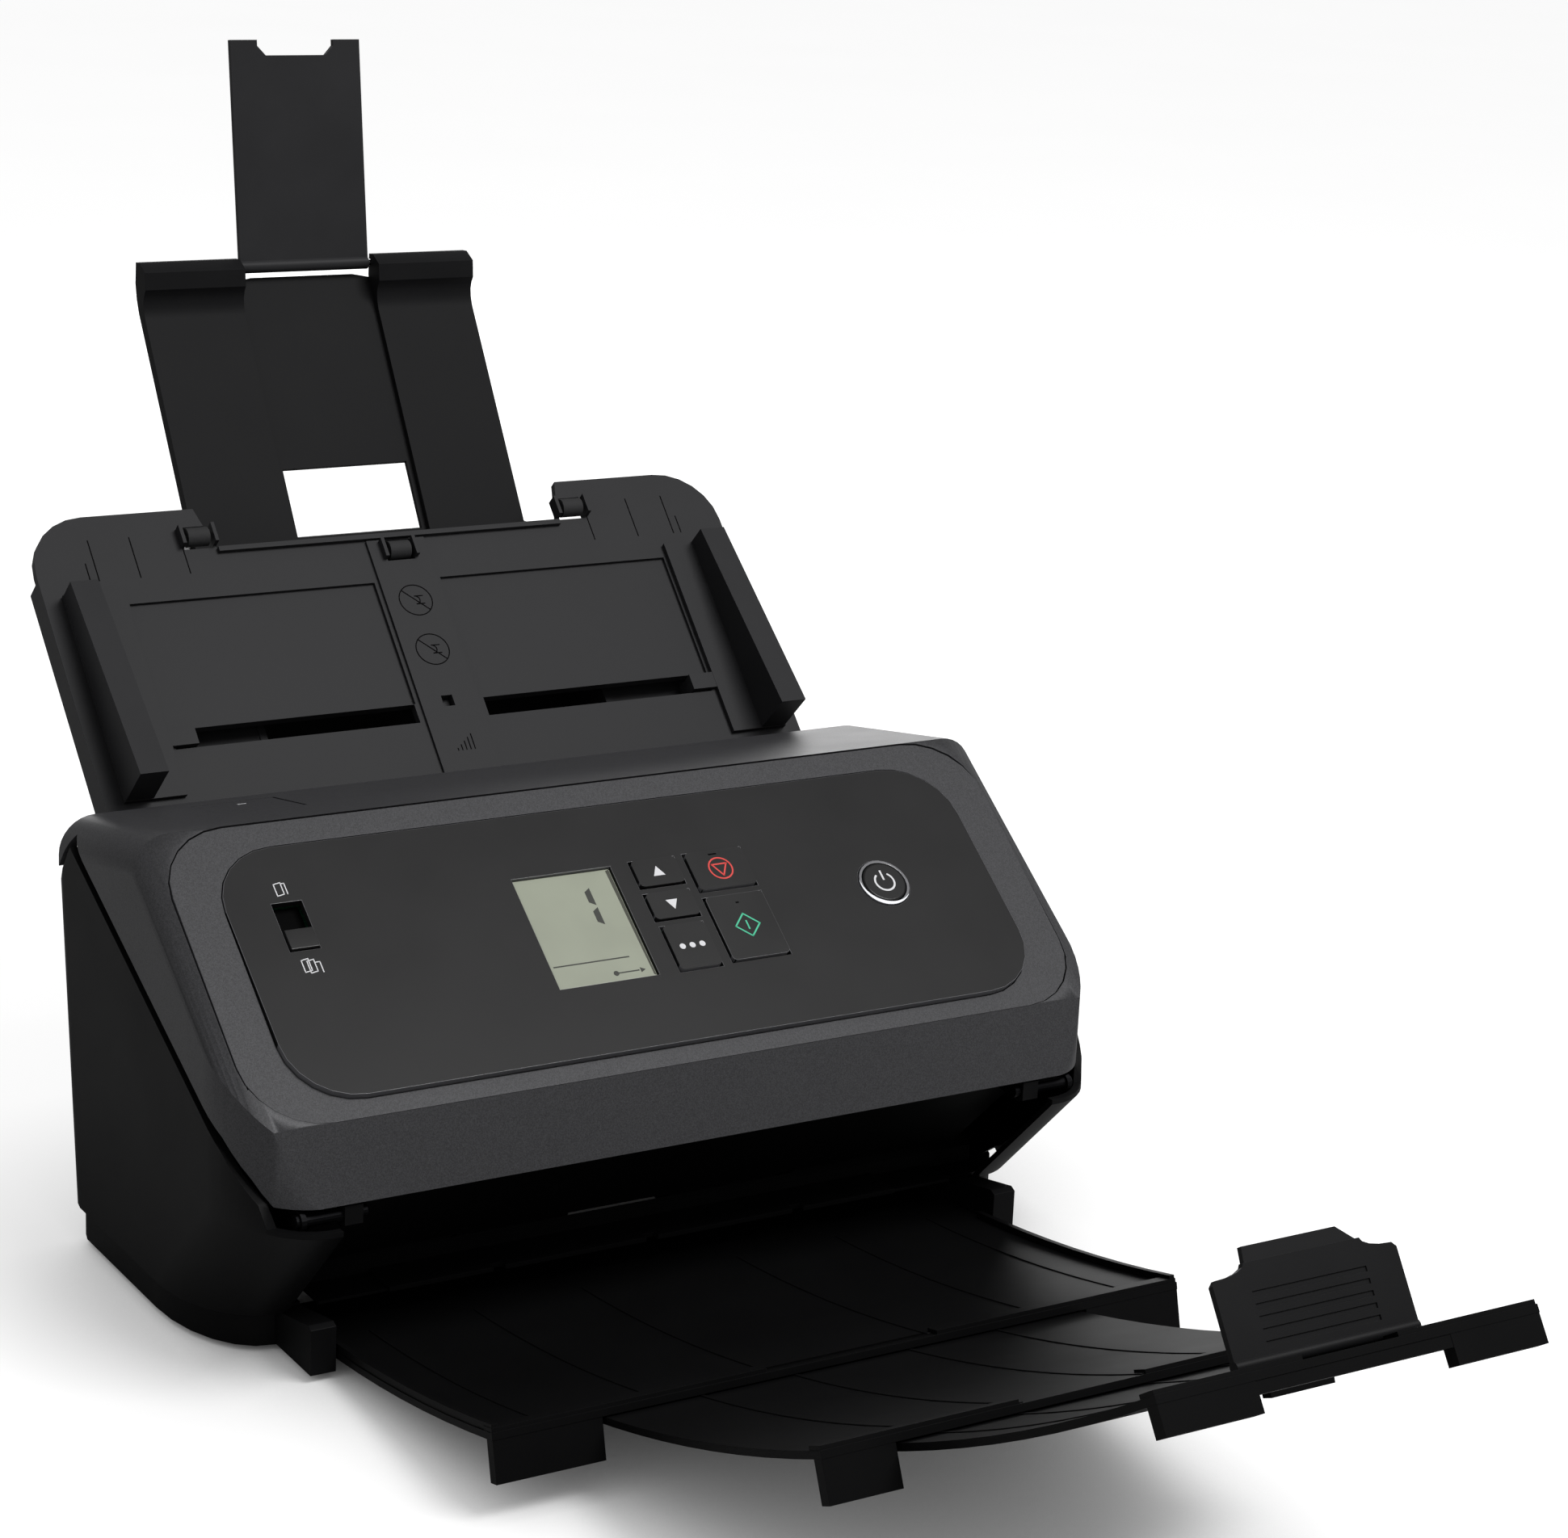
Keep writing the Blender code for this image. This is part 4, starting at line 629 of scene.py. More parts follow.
def printed_ink(name, colour, glow=0.0):
    """Screen-printed mark: slightly uneven ink on the plastic's grain; a glow above zero is a painted glow, as the
    ink is no lamp.
    """
    material, nodes, links = new_material(name)
    shader = nodes["Principled BSDF"]
    fine = object_noise(nodes, links, 3200.0, 2.0)
    ramp = shade_between(nodes, links, fine.outputs["Fac"], tinted(colour, 0.9), colour)
    links.new(ramp.outputs["Color"], shader.inputs["Base Color"])
    roughness_between(nodes, links, fine.outputs["Fac"], 0.45, 0.6, shader)
    bump_from(nodes, links, fine.outputs["Fac"], 0.00001, shader)
    # Painted glow: a weak emission in the ink's colour.
    shader.inputs["Emission Color"].default_value = (*colour, 1.0)
    shader.inputs["Emission Strength"].default_value = glow
    return material


def worked_metal(name, colour, rough, stretch):
    """Plated or brushed metal: noise drawn out along the working direction."""
    material, nodes, links = new_material(name)
    shader = nodes["Principled BSDF"]
    lines = object_noise(nodes, links, 420.0, 5.0, stretch)
    ramp = shade_between(nodes, links, lines.outputs["Fac"], tinted(colour, 0.8), tinted(colour, 1.1))
    links.new(ramp.outputs["Color"], shader.inputs["Base Color"])
    roughness_between(nodes, links, lines.outputs["Fac"], rough - 0.08, rough + 0.12, shader)
    bump_from(nodes, links, lines.outputs["Fac"], 0.00002, shader, 0.3)
    shader.inputs["Metallic"].default_value = 1.0
    return material


def soft_rubber(name, colour):
    material, nodes, links = new_material(name)
    shader = nodes["Principled BSDF"]
    fine = object_noise(nodes, links, 1500.0, 4.0)
    ramp = shade_between(nodes, links, fine.outputs["Fac"], tinted(colour, 0.75), tinted(colour, 1.2))
    links.new(ramp.outputs["Color"], shader.inputs["Base Color"])
    roughness_between(nodes, links, fine.outputs["Fac"], 0.72, 0.9, shader)
    bump_from(nodes, links, fine.outputs["Fac"], 0.00008, shader)
    return material


def circuit_board(name):
    """Green solder mask with paler tracks under it."""
    material, nodes, links = new_material(name)
    shader = nodes["Principled BSDF"]
    place = nodes.new("ShaderNodeTexCoord")
    tracks = nodes.new("ShaderNodeTexBrick")
    tracks.inputs["Scale"].default_value = 160.0
    tracks.inputs["Color1"].default_value = (0.010, 0.085, 0.040, 1.0)
    tracks.inputs["Color2"].default_value = (0.014, 0.110, 0.052, 1.0)
    tracks.inputs["Mortar"].default_value = (0.030, 0.170, 0.080, 1.0)
    links.new(place.outputs["Object"], tracks.inputs["Vector"])
    links.new(tracks.outputs["Color"], shader.inputs["Base Color"])
    roughness_between(nodes, links, tracks.outputs["Fac"], 0.35, 0.5, shader)
    bump_from(nodes, links, tracks.outputs["Fac"], 0.00003, shader)
    return material


def scan_glass(name):
    material, nodes, links = new_material(name)
    shader = nodes["Principled BSDF"]
    slow = object_noise(nodes, links, 60.0)
    ramp = shade_between(nodes, links, slow.outputs["Fac"], (0.030, 0.036, 0.040), (0.038, 0.044, 0.048))
    links.new(ramp.outputs["Color"], shader.inputs["Base Color"])
    roughness_between(nodes, links, slow.outputs["Fac"], 0.03, 0.07, shader)
    shader.inputs["Coat Weight"].default_value = 0.6
    return material


def display_film(name, colour):
    """Reflective display: a slow tint under a very fine grain, with a faint painted glow though the film is unlit.
    """
    material, nodes, links = new_material(name)
    shader = nodes["Principled BSDF"]
    slow = object_noise(nodes, links, 70.0)
    ramp = shade_between(nodes, links, slow.outputs["Fac"], tinted(colour, 0.95), tinted(colour, 1.04))
    links.new(ramp.outputs["Color"], shader.inputs["Base Color"])
    fine = object_noise(nodes, links, 2400.0)
    roughness_between(nodes, links, fine.outputs["Fac"], 0.28, 0.36, shader)
    bump_from(nodes, links, fine.outputs["Fac"], 0.00001, shader, 0.2)
    # Painted glow: the unlit film gets a weak emission in its own colour.
    shader.inputs["Emission Color"].default_value = (*colour, 1.0)
    shader.inputs["Emission Strength"].default_value = 0.12
    return material


MATERIALS = {}


def finish(name):
    """Each named finish, made once."""
    if name in MATERIALS:
        return MATERIALS[name]
    chosen = finishes()
    makers = {
        "shell": lambda: moulded_plastic("shell_black", chosen.shell, 0.50, gloss=0.08),
        "flake": lambda: flake_paint("flake_grey", chosen.flake, 0.46),
        "panel": lambda: smooth_plastic("panel_black", chosen.panel, 0.38, 0.22),
        "key": lambda: smooth_plastic("key_black", tinted(chosen.panel, 0.8), 0.32, 0.3),
        "feed": lambda: moulded_plastic("feed_black", chosen.feed, 0.52, gloss=0.16),
        # The extension is the feed tray's plastic at 0.42 of its colour: painted shade for the light falling less
        # on it.
        "extension": lambda: moulded_plastic("extension_black", tinted(chosen.feed, 0.42), 0.55, gloss=0.07),
        "eject": lambda: moulded_plastic("eject_black", chosen.eject, 0.50, gloss=0.06),
        # The stopper is the eject trays' plastic painted lighter: painted light on its face turned towards the
        # lamps.
        "stopper": lambda: moulded_plastic("stopper_black", tinted(chosen.feed, 0.40), 0.46, gloss=0.12),
        "inner": lambda: moulded_plastic("inner_black", tinted(chosen.eject, 1.2), 0.62, gloss=0.10),
        "dark": lambda: moulded_plastic("recess_black", tinted(chosen.eject, 0.5), 0.8, gloss=0.05),
        # The inks get a weak painted glow, so the marks shine though they are no lamp.
        "ink": lambda: printed_ink("white_ink", chosen.ink, 0.05),
        "red_ink": lambda: printed_ink("red_ink", (0.70, 0.045, 0.035), 0.08),
        "green_ink": lambda: printed_ink("green_ink", (0.05, 0.52, 0.30), 0.08),
        # screen edge: dark olive, painted shade for the display's recessed edge
        "screen_edge_shade": lambda: printed_ink("display_edge", (0.035, 0.037, 0.022)),
        "segment": lambda: printed_ink("display_segment", (0.018, 0.020, 0.014)),
        # ring: the crescent on the power ring, a painted highlight with a painted glow, though it is no lamp
        "ring": lambda: printed_ink("light_ring", (0.72, 0.73, 0.76), 0.35),
        # rim: the flake colour made 3.2 times paler and glossy, a painted highlight for rounded rims
        "rim": lambda: smooth_plastic("rim_grey", tinted(chosen.flake, 3.2), 0.30, 0.8),
        "screen": lambda: display_film("display_film", chosen.screen),
        "rubber": lambda: soft_rubber("roller_rubber", (0.016, 0.016, 0.017)),
        "roller_grey": lambda: soft_rubber("idler_rubber", (0.060, 0.062, 0.066)),
        "steel": lambda: worked_metal("plated_steel", (0.48, 0.49, 0.50), 0.34, (0.1, 1.0, 1.0)),
        "black_steel": lambda: worked_metal("blackened_steel", (0.012, 0.012, 0.013), 0.5, (0.1, 1.0, 1.0)),
        "pin_steel": lambda: worked_metal("ground_steel", (0.55, 0.56, 0.58), 0.26, (1.0, 0.1, 0.1)),
        "gear": lambda: moulded_plastic("gear_acetal", (0.62, 0.61, 0.56), 0.45),
        "glass": lambda: scan_glass("scan_glass"),
        "board": lambda: circuit_board("solder_mask"),
    }
    MATERIALS[name] = makers[name]()
    return MATERIALS[name]


# ---- operators, one for each piece or group of like pieces ----
def key_mark(key, kind, pieces, ink):
    """Join flat pieces into one mark on a key's face."""
    plane, _, _ = slab_plane(key, PANEL_TILT)
    mark = put(join_pieces(pieces, f"{key}_{kind}"), plane)
    return finish_piece(mark, finish(ink), key)


class SCANNER_OT_shell(bpy.types.Operator):
    """Side cover, lower case and feet."""

    bl_idname = "scanner.shell"
    bl_label = "Cover and case"

    def execute(self, context):
        edge = sizes().edge_round
        finished_copy("main_cover", "main_cover_skin", finish("shell"), edge)
        finished_copy("lower_case", "lower_case_skin", finish("shell"), edge)
        for corner in ("front_left", "front_right", "rear_left", "rear_right"):
            finished_copy(f"foot_{corner}", f"foot_{corner}_pad", finish("rubber"), sizes().fine_round)
        return {"FINISHED"}


class SCANNER_OT_front_unit(bpy.types.Operator):
    """Front cover, the ring round the panel, and the panel with its rounded rim, which carries a painted
    highlight.
    """

    bl_idname = "scanner.front_unit"
    bl_label = "Front unit"

    def execute(self, context):
        finished_copy("front_cover", "front_cover_skin", finish("flake"), sizes().edge_round, 2, BLEND_ANGLE)
        finished_copy("bezel_frame", "bezel_ring", finish("flake"), sizes().edge_round, 3)
        paint_rim_highlight(finished_copy("control_panel", "key_panel", finish("panel"), PANEL_EDGE, 4))
        return {"FINISHED"}


class SCANNER_OT_display(bpy.types.Operator):
    """Display film, its painted edge shade, digit, rule and link mark."""

    bl_idname = "scanner.display"
    bl_label = "Display"

    def execute(self, context):
        finished_copy("display_screen", "display_glass", finish("screen"), sizes().fine_round)
        plane, width, length = slab_plane("display_screen", PANEL_TILT)
        tall = sizes().mark_height
        marks = []
        slant = 0.0013
        left, right = width * 0.185 - 0.0009, width * 0.185 + 0.0011
        for low, high in ((length * 0.192, length * 0.352), (length * 0.012, length * 0.172)):
            segment = [(left, low + slant), (right, low), (right, high), (left, high - slant)]
            marks.append(plate(segment, tall))
        rule = -length * 0.30
        marks.append(stroke((-width * 0.46, rule), (width * 0.30, rule), 0.00042, tall))
        y = -length * 0.43
        tip = 0.0009
        marks.append(stroke((width * 0.14, y), (width * 0.34, y), 0.00040, tall))
        marks.append(plate([(width * 0.36, y + tip), (width * 0.36, y - tip), (width * 0.41, y)], tall))
        marks.append(plate(disc_points(width * 0.11, y, tip, 12), tall))
        # A dark olive strip down the film's right edge: painted shade standing in for the recessed window's wall.
        rim = 0.0003
        outer, inner = width / 2 - rim, width / 2 - 3 * rim
        top, low_end = length / 2, -length / 2
        shade = plate([(inner, low_end + 2 * rim), (outer, low_end + rim), (outer, top - rim),
                       (inner - 2 * rim, top - 2 * rim)], tall)
        shade = put(name_piece(shade, "display_edge_shade"), plane)
        finish_piece(shade, finish("screen_edge_shade"), "front_unit")
        digit = put(join_pieces(marks, "display_marks"), plane)
        finish_piece(digit, finish("segment"), "front_unit")
        return {"FINISHED"}


class SCANNER_OT_keys(bpy.types.Operator):
    """The five key caps and the marks printed on them."""

    bl_idname = "scanner.keys"
    bl_label = "Keys"

    def execute(self, context):
        tall = sizes().mark_height
        thin = sizes().line_width
        for name in ("up_key", "down_key", "blank_key", "stop_key", "start_key"):
            cap = copy_of(name, f"{name}_cap")
            round_corners(cap, KEY_CORNER)
            round_edges(cap, KEY_EDGE, 3)
            # the cap's rounded rim gets the painted highlight
            paint_rim_highlight(finish_piece(cap, finish("key"), name, name))
        for name, way in (("up_key", 1), ("down_key", -1)):
            points = [(-way * ARROW_HALF, -way * ARROW_BASE), (way * ARROW_HALF, -way * ARROW_BASE),
                      (0.0, way * ARROW_HALF)]
            key_mark(name, "mark", [plate(points, tall)], "ink")
        dots = [plate(disc_points(step * DOT_GAP, 0.0, DOT_RADIUS, DOT_SIDES), tall)
                for step in (-1, 0, 1)]
        key_mark("blank_key", "mark", dots, "ink")
        stop = [ring(STOP_RADIUS, thin, tall)]
        stop += outline([(-0.0025, 0.0016), (0.0025, 0.0016), (0.0, -0.0027)], thin, tall)
        key_mark("stop_key", "mark", stop, "red_ink")
        lamp = stroke((-0.0019, STOP_LAMP_Y), (0.0005, STOP_LAMP_Y), thin, tall)
        key_mark("stop_key", "lamp", [lamp], "dark")
        diamond = [(0.0, START_HALF), (START_HALF, 0.0), (0.0, -START_HALF), (-START_HALF, 0.0)]
        start = outline(diamond, thin, tall)
        start.append(stroke((0.0, START_HALF / 3), (0.0, -START_HALF / 3), thin, tall))
        key_mark("start_key", "mark", start, "green_ink")
        lamp = stroke((-0.0003, START_LAMP_Y), (0.0003, START_LAMP_Y), thin, tall)
        key_mark("start_key", "lamp", [lamp], "dark")
        return {"FINISHED"}


class SCANNER_OT_power(bpy.types.Operator):
    """Power button with its ring, the crescent of painted highlight on it, and the stand-by mark."""

    bl_idname = "scanner.power"
    bl_label = "Power button"

    def execute(self, context):
        finished_copy("power_button", "power_cap", finish("key"), POWER_EDGE, 3)
        # the whole ring takes the paler rim finish, a painted highlight
        finished_copy("power_ring", "power_light_ring", finish("rim"), ROLLER_EDGE)
        plane, _, _ = slab_plane("power_button", PANEL_TILT)
        tall = sizes().mark_height
        thin = sizes().line_width * 1.3
        sweep = 360.0 - STANDBY_OPENING
        mark = [ring(STANDBY_RADIUS, thin, tall, 30, 90.0 - STANDBY_OPENING / 2, sweep),
                stroke((0.0, 0.0010), (0.0, 0.0040), thin, tall)]
        finish_piece(put(join_pieces(mark, "power_mark"), plane), finish("ink"), "power_button")
        # The crescent is a painted highlight on the ring's lower left, with a painted glow.
        ring_low, ring_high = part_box("power_ring")
        outer = (ring_high.x - ring_low.x) / 2
        turns = [math.radians(CRESCENT_START + CRESCENT_STEP_ANGLE * step)
                 for step in range(CRESCENT_STEPS + 1)]
        crescent = [(outer * math.cos(turn), outer * math.sin(turn)) for turn in turns]
        for step in range(CRESCENT_STEPS - 1, 0, -1):
            inner = outer - CRESCENT_WIDTH * math.sin(math.pi * step / CRESCENT_STEPS)
            crescent.append((inner * math.cos(turns[step]), inner * math.sin(turns[step])))
        face, _, _ = slab_plane("power_ring", PANEL_TILT)
        glow = put(name_piece(plate(crescent, tall), "power_light_crescent"), face)
        finish_piece(glow, finish("ring"), "front_unit")
        return {"FINISHED"}


class SCANNER_OT_feed_switch(bpy.types.Operator):
    """Feed switch: knob, window floor and the two printed sheet marks."""

    bl_idname = "scanner.feed_switch"
    bl_label = "Feed switch"

    def execute(self, context):
        finished_copy("feed_switch_knob", "feed_switch_grip", finish("key"), sizes().fine_round)
        panel, _, _ = slab_plane("control_panel", PANEL_TILT)
        tall = sizes().mark_height
        line = sizes().line_width * LEAF_LINE_SHARE
        x = middle("feed_switch_knob").x
        floor = bar(x - WINDOW_HALF, x + WINDOW_HALF, *WINDOW_SPAN, *WINDOW_FLOOR)
        finish_piece(put(name_piece(floor, "feed_switch_floor"), panel), finish("dark"), "front_unit")

        def sheet(left, low):
            right, top = left + SHEET_WIDTH, low + SHEET_HEIGHT
            corners = [(left, low), (right, low + SHEET_SLANT), (right, top + SHEET_SLANT), (left, top)]
            return outline(corners, line, tall)

        def sheet_behind(left, right, top, low):
            return outline([(left, top), (right, top), (right, low)], line, tall, closed=False)

        single = sheet(x - 0.0018, 0.0262) + sheet_behind(x + 0.0004, x + 0.0015, 0.0304, 0.0266)
        stack = []
        for step in range(2):
            stack += sheet(x - 0.0026 + SHEET_STEP[0] * step, -0.0010 + SHEET_STEP[1] * step)
        stack += sheet_behind(x + 0.0014, x + 0.0028, 0.0020, -0.0016)
        marks = put(join_pieces(single + stack, "feed_switch_marks"), panel)
        finish_piece(marks, finish("ink"), "front_unit")
        return {"FINISHED"}


class SCANNER_OT_lever(bpy.types.Operator):
    """Release lever on the crown with its small pointer."""

    bl_idname = "scanner.lever"
    bl_label = "Release lever"

    def execute(self, context):
        finished_copy("release_lever", "release_lever_cap", finish("flake"), sizes().fine_round)
        pivot = Vector(JOINTS["release_lever_hinge"]["pos_m"])
        crown = facing_up("release_lever")
        plane = plane_at(Vector((middle("release_lever").x, pivot.y, pivot.z)), crown)
        tick = stroke((-0.0012, 0.0175), (0.0012, 0.0175), sizes().line_width, sizes().mark_height)
        finish_piece(put(name_piece(tick, "release_lever_tick"), plane), finish("ink"), "release_lever")
        return {"FINISHED"}


class SCANNER_OT_feed_tray(bpy.types.Operator):
    """Feed tray with its rollers, sheet-width lines and the signs on the middle bar."""

    bl_idname = "scanner.feed_tray"
    bl_label = "Feed tray"

    def execute(self, context):
        finished_copy("feed_tray", "feed_tray_skin", finish("feed"), LEAF_EDGE)
        finished_copy("tray_housing", "tray_housing_skin", finish("feed"), sizes().fine_round)
        for side in ("left", "centre", "right"):
            finished_copy(f"tray_roller_{side}", f"tray_roller_{side}_tyre", finish("rubber"), ROLLER_EDGE)
        plane = feed_plane()
        tall = TRAY_MARK_HEIGHT
        line = TRAY_LINE
        lines = []
        for x, top in SHEET_LINES:
            lines += [stroke((side * x, 0.0), (side * x, top), line, tall) for side in (-1, 1)]
        marks = put(join_pieces(lines, "sheet_width_lines"), plane)
        finish_piece(marks, finish("dark"), "base")
        raised = plane @ Matrix.Translation((0.0, 0.0, 0.0010))
        signs = []
        for v in SIGN_PLACES:
            signs.append((ring(SIGN_RADIUS, line, tall), v))
            signs.append((stroke((-SIGN_SLASH, SIGN_SLASH), (SIGN_SLASH, -SIGN_SLASH), line, tall), v))
            signs.append((ring(SIGN_CLIP, line, tall, 20, 90.0, 180.0), v))
            for y in (SIGN_CLIP, -SIGN_CLIP):
                signs.append((stroke((0.0, y), (SIGN_CLIP_END, y), line, tall), v))
        for step in range(5):
            x = -0.0030 + 0.0015 * step
            signs.append((stroke((x, -0.0030), (x, -0.0024 + 0.0012 * step), line, tall), STEPS_PLACE))
        for piece, v in signs:
            put(piece, Matrix.Translation((0.0, v, 0.0)))
        finish_piece(put(join_pieces([piece for piece, _ in signs], "feed_warnings"), raised),
                     finish("dark"), "base")
        return {"FINISHED"}


class SCANNER_OT_guides(bpy.types.Operator):
    """The two side guides and the pinion that ties them."""

    bl_idname = "scanner.guides"
    bl_label = "Side guides"

    def execute(self, context):
        finished_copy("left_side_guide", "left_guide_skin", finish("feed"), GUIDE_EDGE)
        finished_copy("right_side_guide", "right_guide_skin", finish("feed"), GUIDE_EDGE)
        finished_copy("guide_pinion", "guide_pinion_gear", finish("gear"), GEAR_EDGE)
        return {"FINISHED"}


class SCANNER_OT_extension(bpy.types.Operator):
    """Extension tray, fold-over support and its pin."""

    bl_idname = "scanner.extension"
    bl_label = "Extension"

    def execute(self, context):
        finished_copy("extension_tray", "extension_skin", finish("extension"), TRAY_EDGE)
        finished_copy("flip_support", "flip_support_skin", finish("feed"), LEAF_EDGE)
        finished_copy("flip_support_pin", "flip_support_rod", finish("pin_steel"), GEAR_EDGE)
        return {"FINISHED"}


class SCANNER_OT_eject_trays(bpy.types.Operator):
    """Three curved trays with their long raised runners."""

    bl_idname = "scanner.eject_trays"
    bl_label = "Eject trays"

    def execute(self, context):
        top = sizes().tray_radius
        for index, name in enumerate(("eject_tray", "eject_extension", "eject_end_tray")):
            finished_copy(name, f"{name}_skin", finish("eject"), TRAY_EDGE)
            low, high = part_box(name)
            radius = top + TRAY_STEP * index
            back = high.y - 0.012
            if index == 0:
                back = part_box("exit_guide")[0].y - 0.006
            turns = [math.asin((y - CURL_CENTRE.y) / radius) for y in (low.y + 0.006, back)]
            runners = []
            for share in RUNNER_PLACES[index]:
                x = share * high.x
                for left in sorted((x, -x)):
                    runners.append(curved_bar(left - RUNNER_HALF, left + RUNNER_HALF,
                                              radius - RUNNER_HEIGHT, radius + RUNNER_SINK, *turns))
            runners = round_edges(join_pieces(runners, f"{name}_runners"), RUNNER_EDGE, 1)
            finish_piece(runners, finish("eject"), name)
        return {"FINISHED"}


class SCANNER_OT_stopper(bpy.types.Operator):
    """Folding paper stopper with its grip grooves."""

    bl_idname = "scanner.stopper"
    bl_label = "Paper stopper"

    def execute(self, context):
        pivot = Vector(JOINTS["paper_stopper_hinge"]["pos_m"])
        lean = math.atan2(CURL_CENTRE.y - pivot.y, CURL_CENTRE.z - pivot.z)
        plane = plane_at(pivot, math.pi / 2 - lean)
        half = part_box("paper_stopper")[1].x * GROOVE_SHARE
        stopper = copy_of("paper_stopper", "paper_stopper_skin")
        grooves = []
        for step in range(sizes().grip_count):
            low = GROOVE_START + GROOVE_PITCH * step
            grooves.append(put(bar(-half, half, low, low + GROOVE_WIDTH, *GROOVE_DEPTHS), plane))
        carve(stopper, grooves)
        round_edges(stopper, ROLLER_EDGE)
        finish_piece(stopper, finish("stopper"), "paper_stopper", "paper_stopper")
        return {"FINISHED"}


class SCANNER_OT_inner_parts(bpy.types.Operator):
    """Rollers, frames, sensors, drive and boards inside the scanner."""

    bl_idname = "scanner.inner_parts"
    bl_label = "Inner parts"

    def execute(self, context):
        chosen = {
            "inner": ("main_frame", "upper_frame", "lower_sensor", "upper_sensor"),
            "black_steel": ("left_side_plate", "right_side_plate", "left_hinge_pin", "right_hinge_pin"),
            "steel": ("drive_motor", "usb_socket", "power_inlet"),
            "pin_steel": ("motor_pinion",),
            "rubber": ("feed_roller", "drive_roller", "eject_roller", "timing_belt"),
            "roller_grey": ("retard_roller", "drive_idler", "eject_idler"),
            "gear": ("drive_gear",),
            "glass": ("lower_glass", "upper_glass"),
            "board": ("main_board", "control_board"),
        }
        finished_copy("exit_guide", "exit_lip", finish("inner"), sizes().fine_round)
        for name, nodes in chosen.items():
            for node in nodes:
                piece = frame["nodes"][node]
                piece.data.materials.clear()
                piece.data.materials.append(finish(name))
        return {"FINISHED"}


def camera_switch(nodes, links, low, high):
    """A value that is high for what the camera sees straight on, and low for all other light."""
    paths = nodes.new("ShaderNodeLightPath")
    level = nodes.new("ShaderNodeMapRange")
    level.inputs["To Min"].default_value = low
    level.inputs["To Max"].default_value = high
    links.new(paths.outputs["Is Camera Ray"], level.inputs["Value"])
    return level.outputs["Result"]


def pale_floor(glow):
    """Pale matt finish whose glow only the camera sees; ambient occlusion dims the glow close under the scanner, a
    painted contact shadow.
    """
    material, nodes, links = new_material("pale_floor")
    shader = nodes["Principled BSDF"]
    slow = object_noise(nodes, links, 3.0)
    ramp = shade_between(nodes, links, slow.outputs["Fac"], (0.44, 0.44, 0.44), (0.46, 0.46, 0.46))
    links.new(ramp.outputs["Color"], shader.inputs["Base Color"])
    shader.inputs["Roughness"].default_value = 0.9
    shader.inputs["Specular IOR Level"].default_value = 0.1
    shader.inputs["Emission Color"].default_value = (1.0, 1.0, 1.0, 1.0)
    ao_painted_shadow = nodes.new("ShaderNodeAmbientOcclusion")
    ao_painted_shadow.inputs["Distance"].default_value = FLOOR_SHADE_REACH
    shaded = nodes.new("ShaderNodeMath")
    shaded.operation = "MULTIPLY"
    links.new(camera_switch(nodes, links, 0.0, glow), shaded.inputs[0])
    links.new(ao_painted_shadow.outputs["AO"], shaded.inputs[1])
    links.new(shaded.outputs["Value"], shader.inputs["Emission Strength"])
    return material


def white_world(room_light):
    """White backdrop for the camera, dimmer even light for everything else."""
    world = bpy.data.worlds.new("studio")
    bpy.context.scene.world = world
    world.use_nodes = True
    nodes, links = world.node_tree.nodes, world.node_tree.links
    backing = nodes["Background"]
    backing.inputs["Color"].default_value = (1.0, 1.0, 1.0, 1.0)
    links.new(camera_switch(nodes, links, room_light, 1.0), backing.inputs["Strength"])


def aimed_camera(chosen, aim):
    """Camera on the chosen line of sight, rolled about it."""
    turn, rise, roll = -chosen.azimuth, chosen.elevation, chosen.roll
    back = Vector((math.sin(turn) * math.cos(rise), -math.cos(turn) * math.cos(rise), math.sin(rise)))
    right = Vector((math.cos(turn), math.sin(turn), 0.0))
    up = back.cross(right)
    rolled_right = right * math.cos(roll) + up * math.sin(roll)
    rolled_up = up * math.cos(roll) - right * math.sin(roll)
    lens = bpy.data.cameras.new("studio_camera")
    lens.lens = chosen.lens
    lens.sensor_width = SENSOR_WIDTH
    camera = bpy.data.objects.new("studio_camera", lens)
    bpy.context.collection.objects.link(camera)
    turned = Matrix((rolled_right, rolled_up, back)).transposed().to_4x4()
    camera.matrix_world = Matrix.Translation(aim + back * chosen.distance) @ turned
    bpy.context.scene.camera = camera


def soft_light(name, place, aim, width, power):
    """A softbox turned towards the aim point."""
    light = bpy.data.lights.new(name, "AREA")
    light.shape = "RECTANGLE"
    light.size = width
    light.size_y = width * 0.7
    light.energy = power
    lamp = bpy.data.objects.new(name, light)
    bpy.context.collection.objects.link(lamp)
    lamp.location = place
    lamp.rotation_euler = (aim - Vector(place)).to_track_quat("-Z", "Y").to_euler()


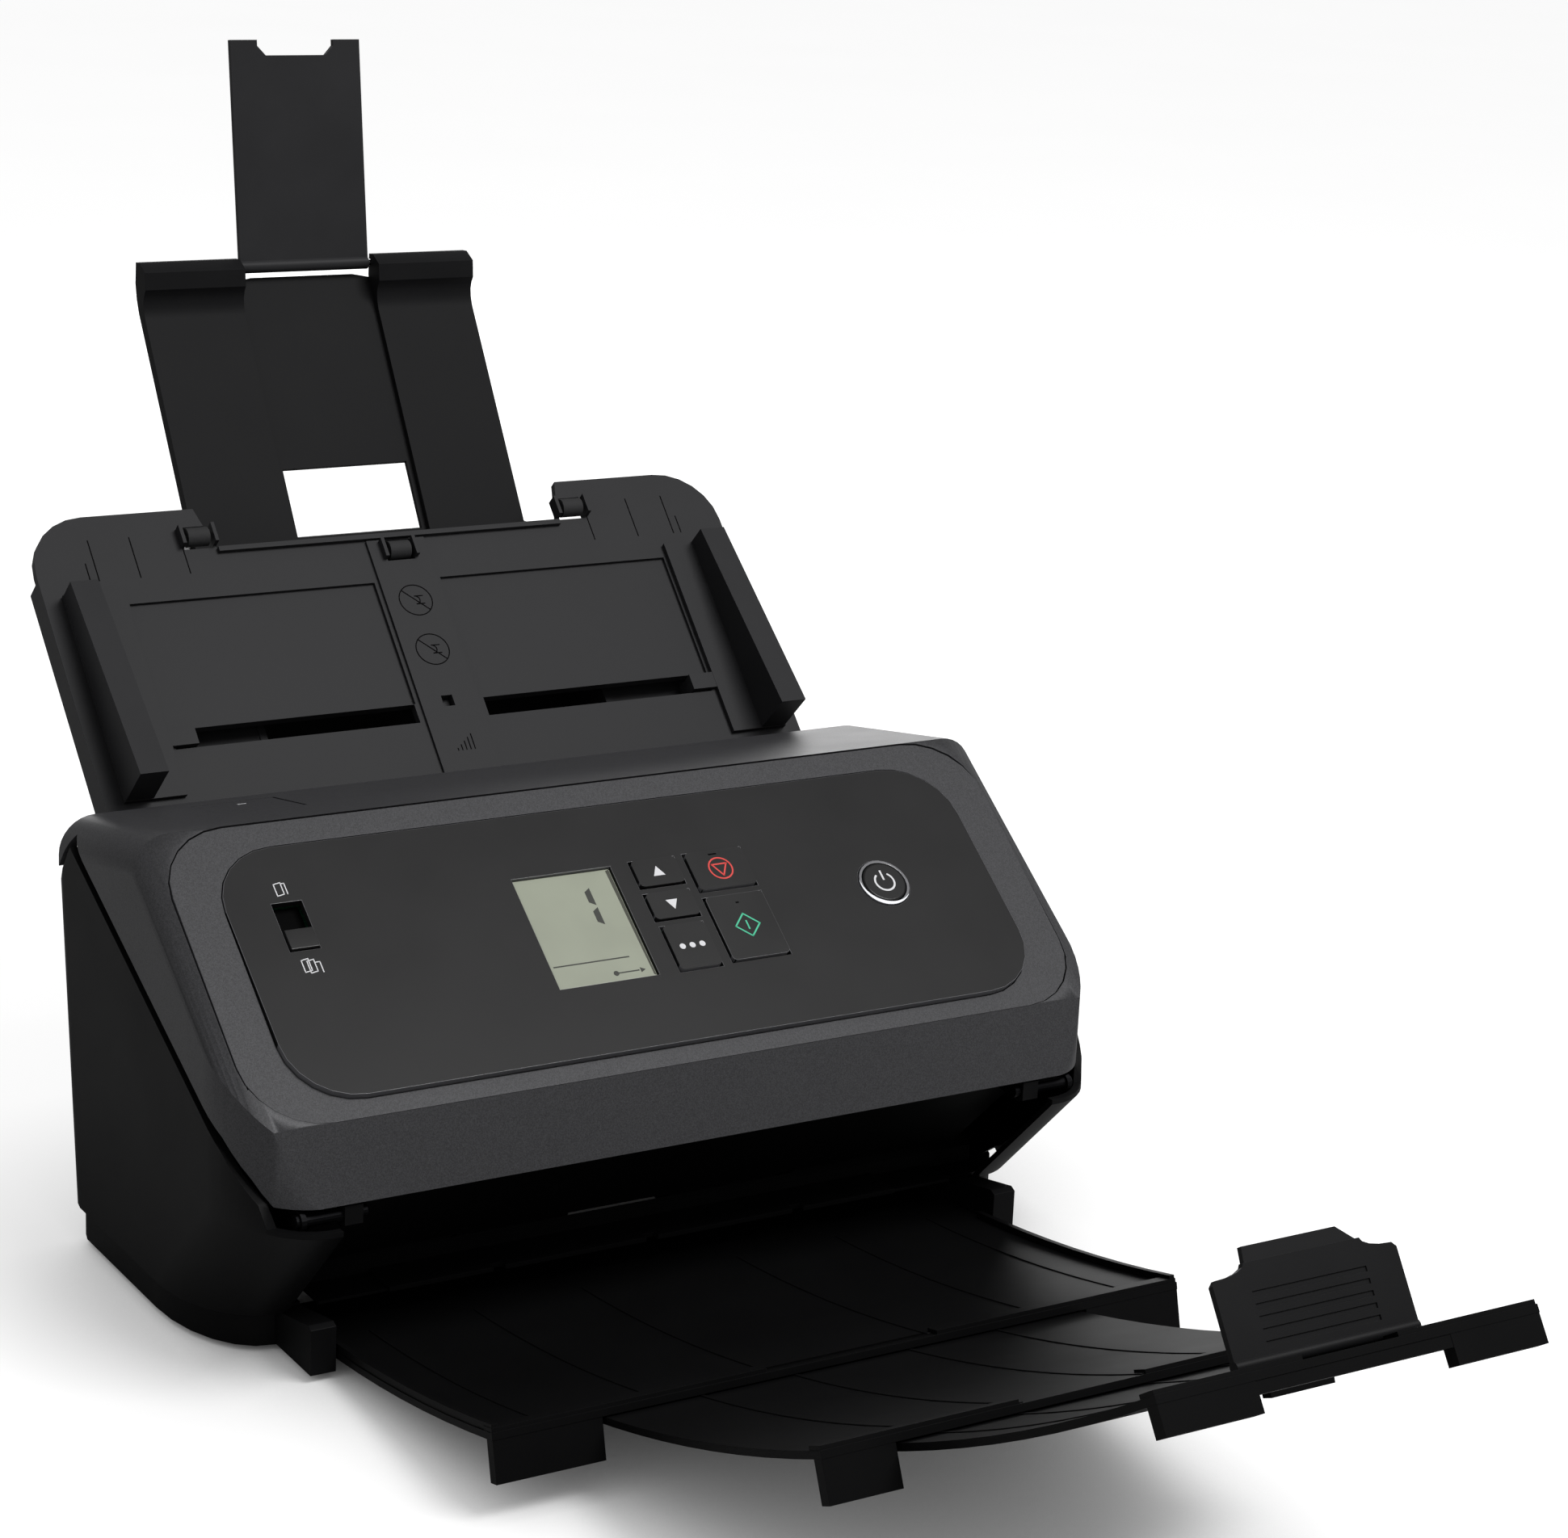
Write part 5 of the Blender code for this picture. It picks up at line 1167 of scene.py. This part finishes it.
class SCANNER_OT_stage(bpy.types.Operator):
    """Pale floor, soft studio light and the camera."""

    bl_idname = "scanner.stage"
    bl_label = "Stage"

    def execute(self, context):
        chosen = stage_settings()
        bpy.ops.object.select_all(action="DESELECT")
        bpy.ops.mesh.primitive_plane_add(size=FLOOR_SIZE, location=(0.0, 0.0, CAD_LOW.z - FLOOR_DROP))
        floor = name_piece(bpy.context.active_object, "studio_floor")
        floor.data.materials.append(pale_floor(chosen.floor_glow))
        white_world(chosen.room_light)
        aim = Vector((0.0, JOINTS["front_unit_hinge"]["pos_m"][1] - AIM_AHEAD, AIM_HEIGHT))
        aimed_camera(chosen, aim)
        for name, place, width, power in SOFTBOXES:
            soft_light(name, place, aim, width, getattr(chosen, power))
        bpy.context.scene.view_settings.view_transform = "Standard"
        return {"FINISHED"}


class SCANNER_PT_panel(bpy.types.Panel):
    """The scanner's pieces, in the order they are made."""

    bl_label = "Scanner"
    bl_idname = "SCANNER_PT_panel"
    bl_space_type = "VIEW_3D"
    bl_region_type = "UI"
    bl_category = "Scanner"

    def draw(self, context):
        column = self.layout.column()
        for operator in OPERATORS:
            column.operator(operator.bl_idname)


OPERATORS = (
    SCANNER_OT_shell,
    SCANNER_OT_front_unit,
    SCANNER_OT_display,
    SCANNER_OT_keys,
    SCANNER_OT_power,
    SCANNER_OT_feed_switch,
    SCANNER_OT_lever,
    SCANNER_OT_feed_tray,
    SCANNER_OT_guides,
    SCANNER_OT_extension,
    SCANNER_OT_eject_trays,
    SCANNER_OT_stopper,
    SCANNER_OT_inner_parts,
    SCANNER_OT_stage,
)
SETTINGS = (
    ("scanner_finishes", ScannerFinishes),
    ("scanner_sizes", ScannerSizes),
    ("scanner_stage", ScannerStage),
)


def register():
    for name, group in SETTINGS:
        bpy.utils.register_class(group)
        setattr(bpy.types.Scene, name, PointerProperty(type=group))
    for operator in OPERATORS:
        bpy.utils.register_class(operator)
    bpy.utils.register_class(SCANNER_PT_panel)


def unregister():
    bpy.utils.unregister_class(SCANNER_PT_panel)
    for operator in reversed(OPERATORS):
        bpy.utils.unregister_class(operator)
    for name, group in reversed(SETTINGS):
        delattr(bpy.types.Scene, name)
        bpy.utils.unregister_class(group)


def main():
    register()
    for operator in OPERATORS:
        family, verb = operator.bl_idname.split(".")
        getattr(getattr(bpy.ops, family), verb)()


if __name__ == "__main__":
    main()
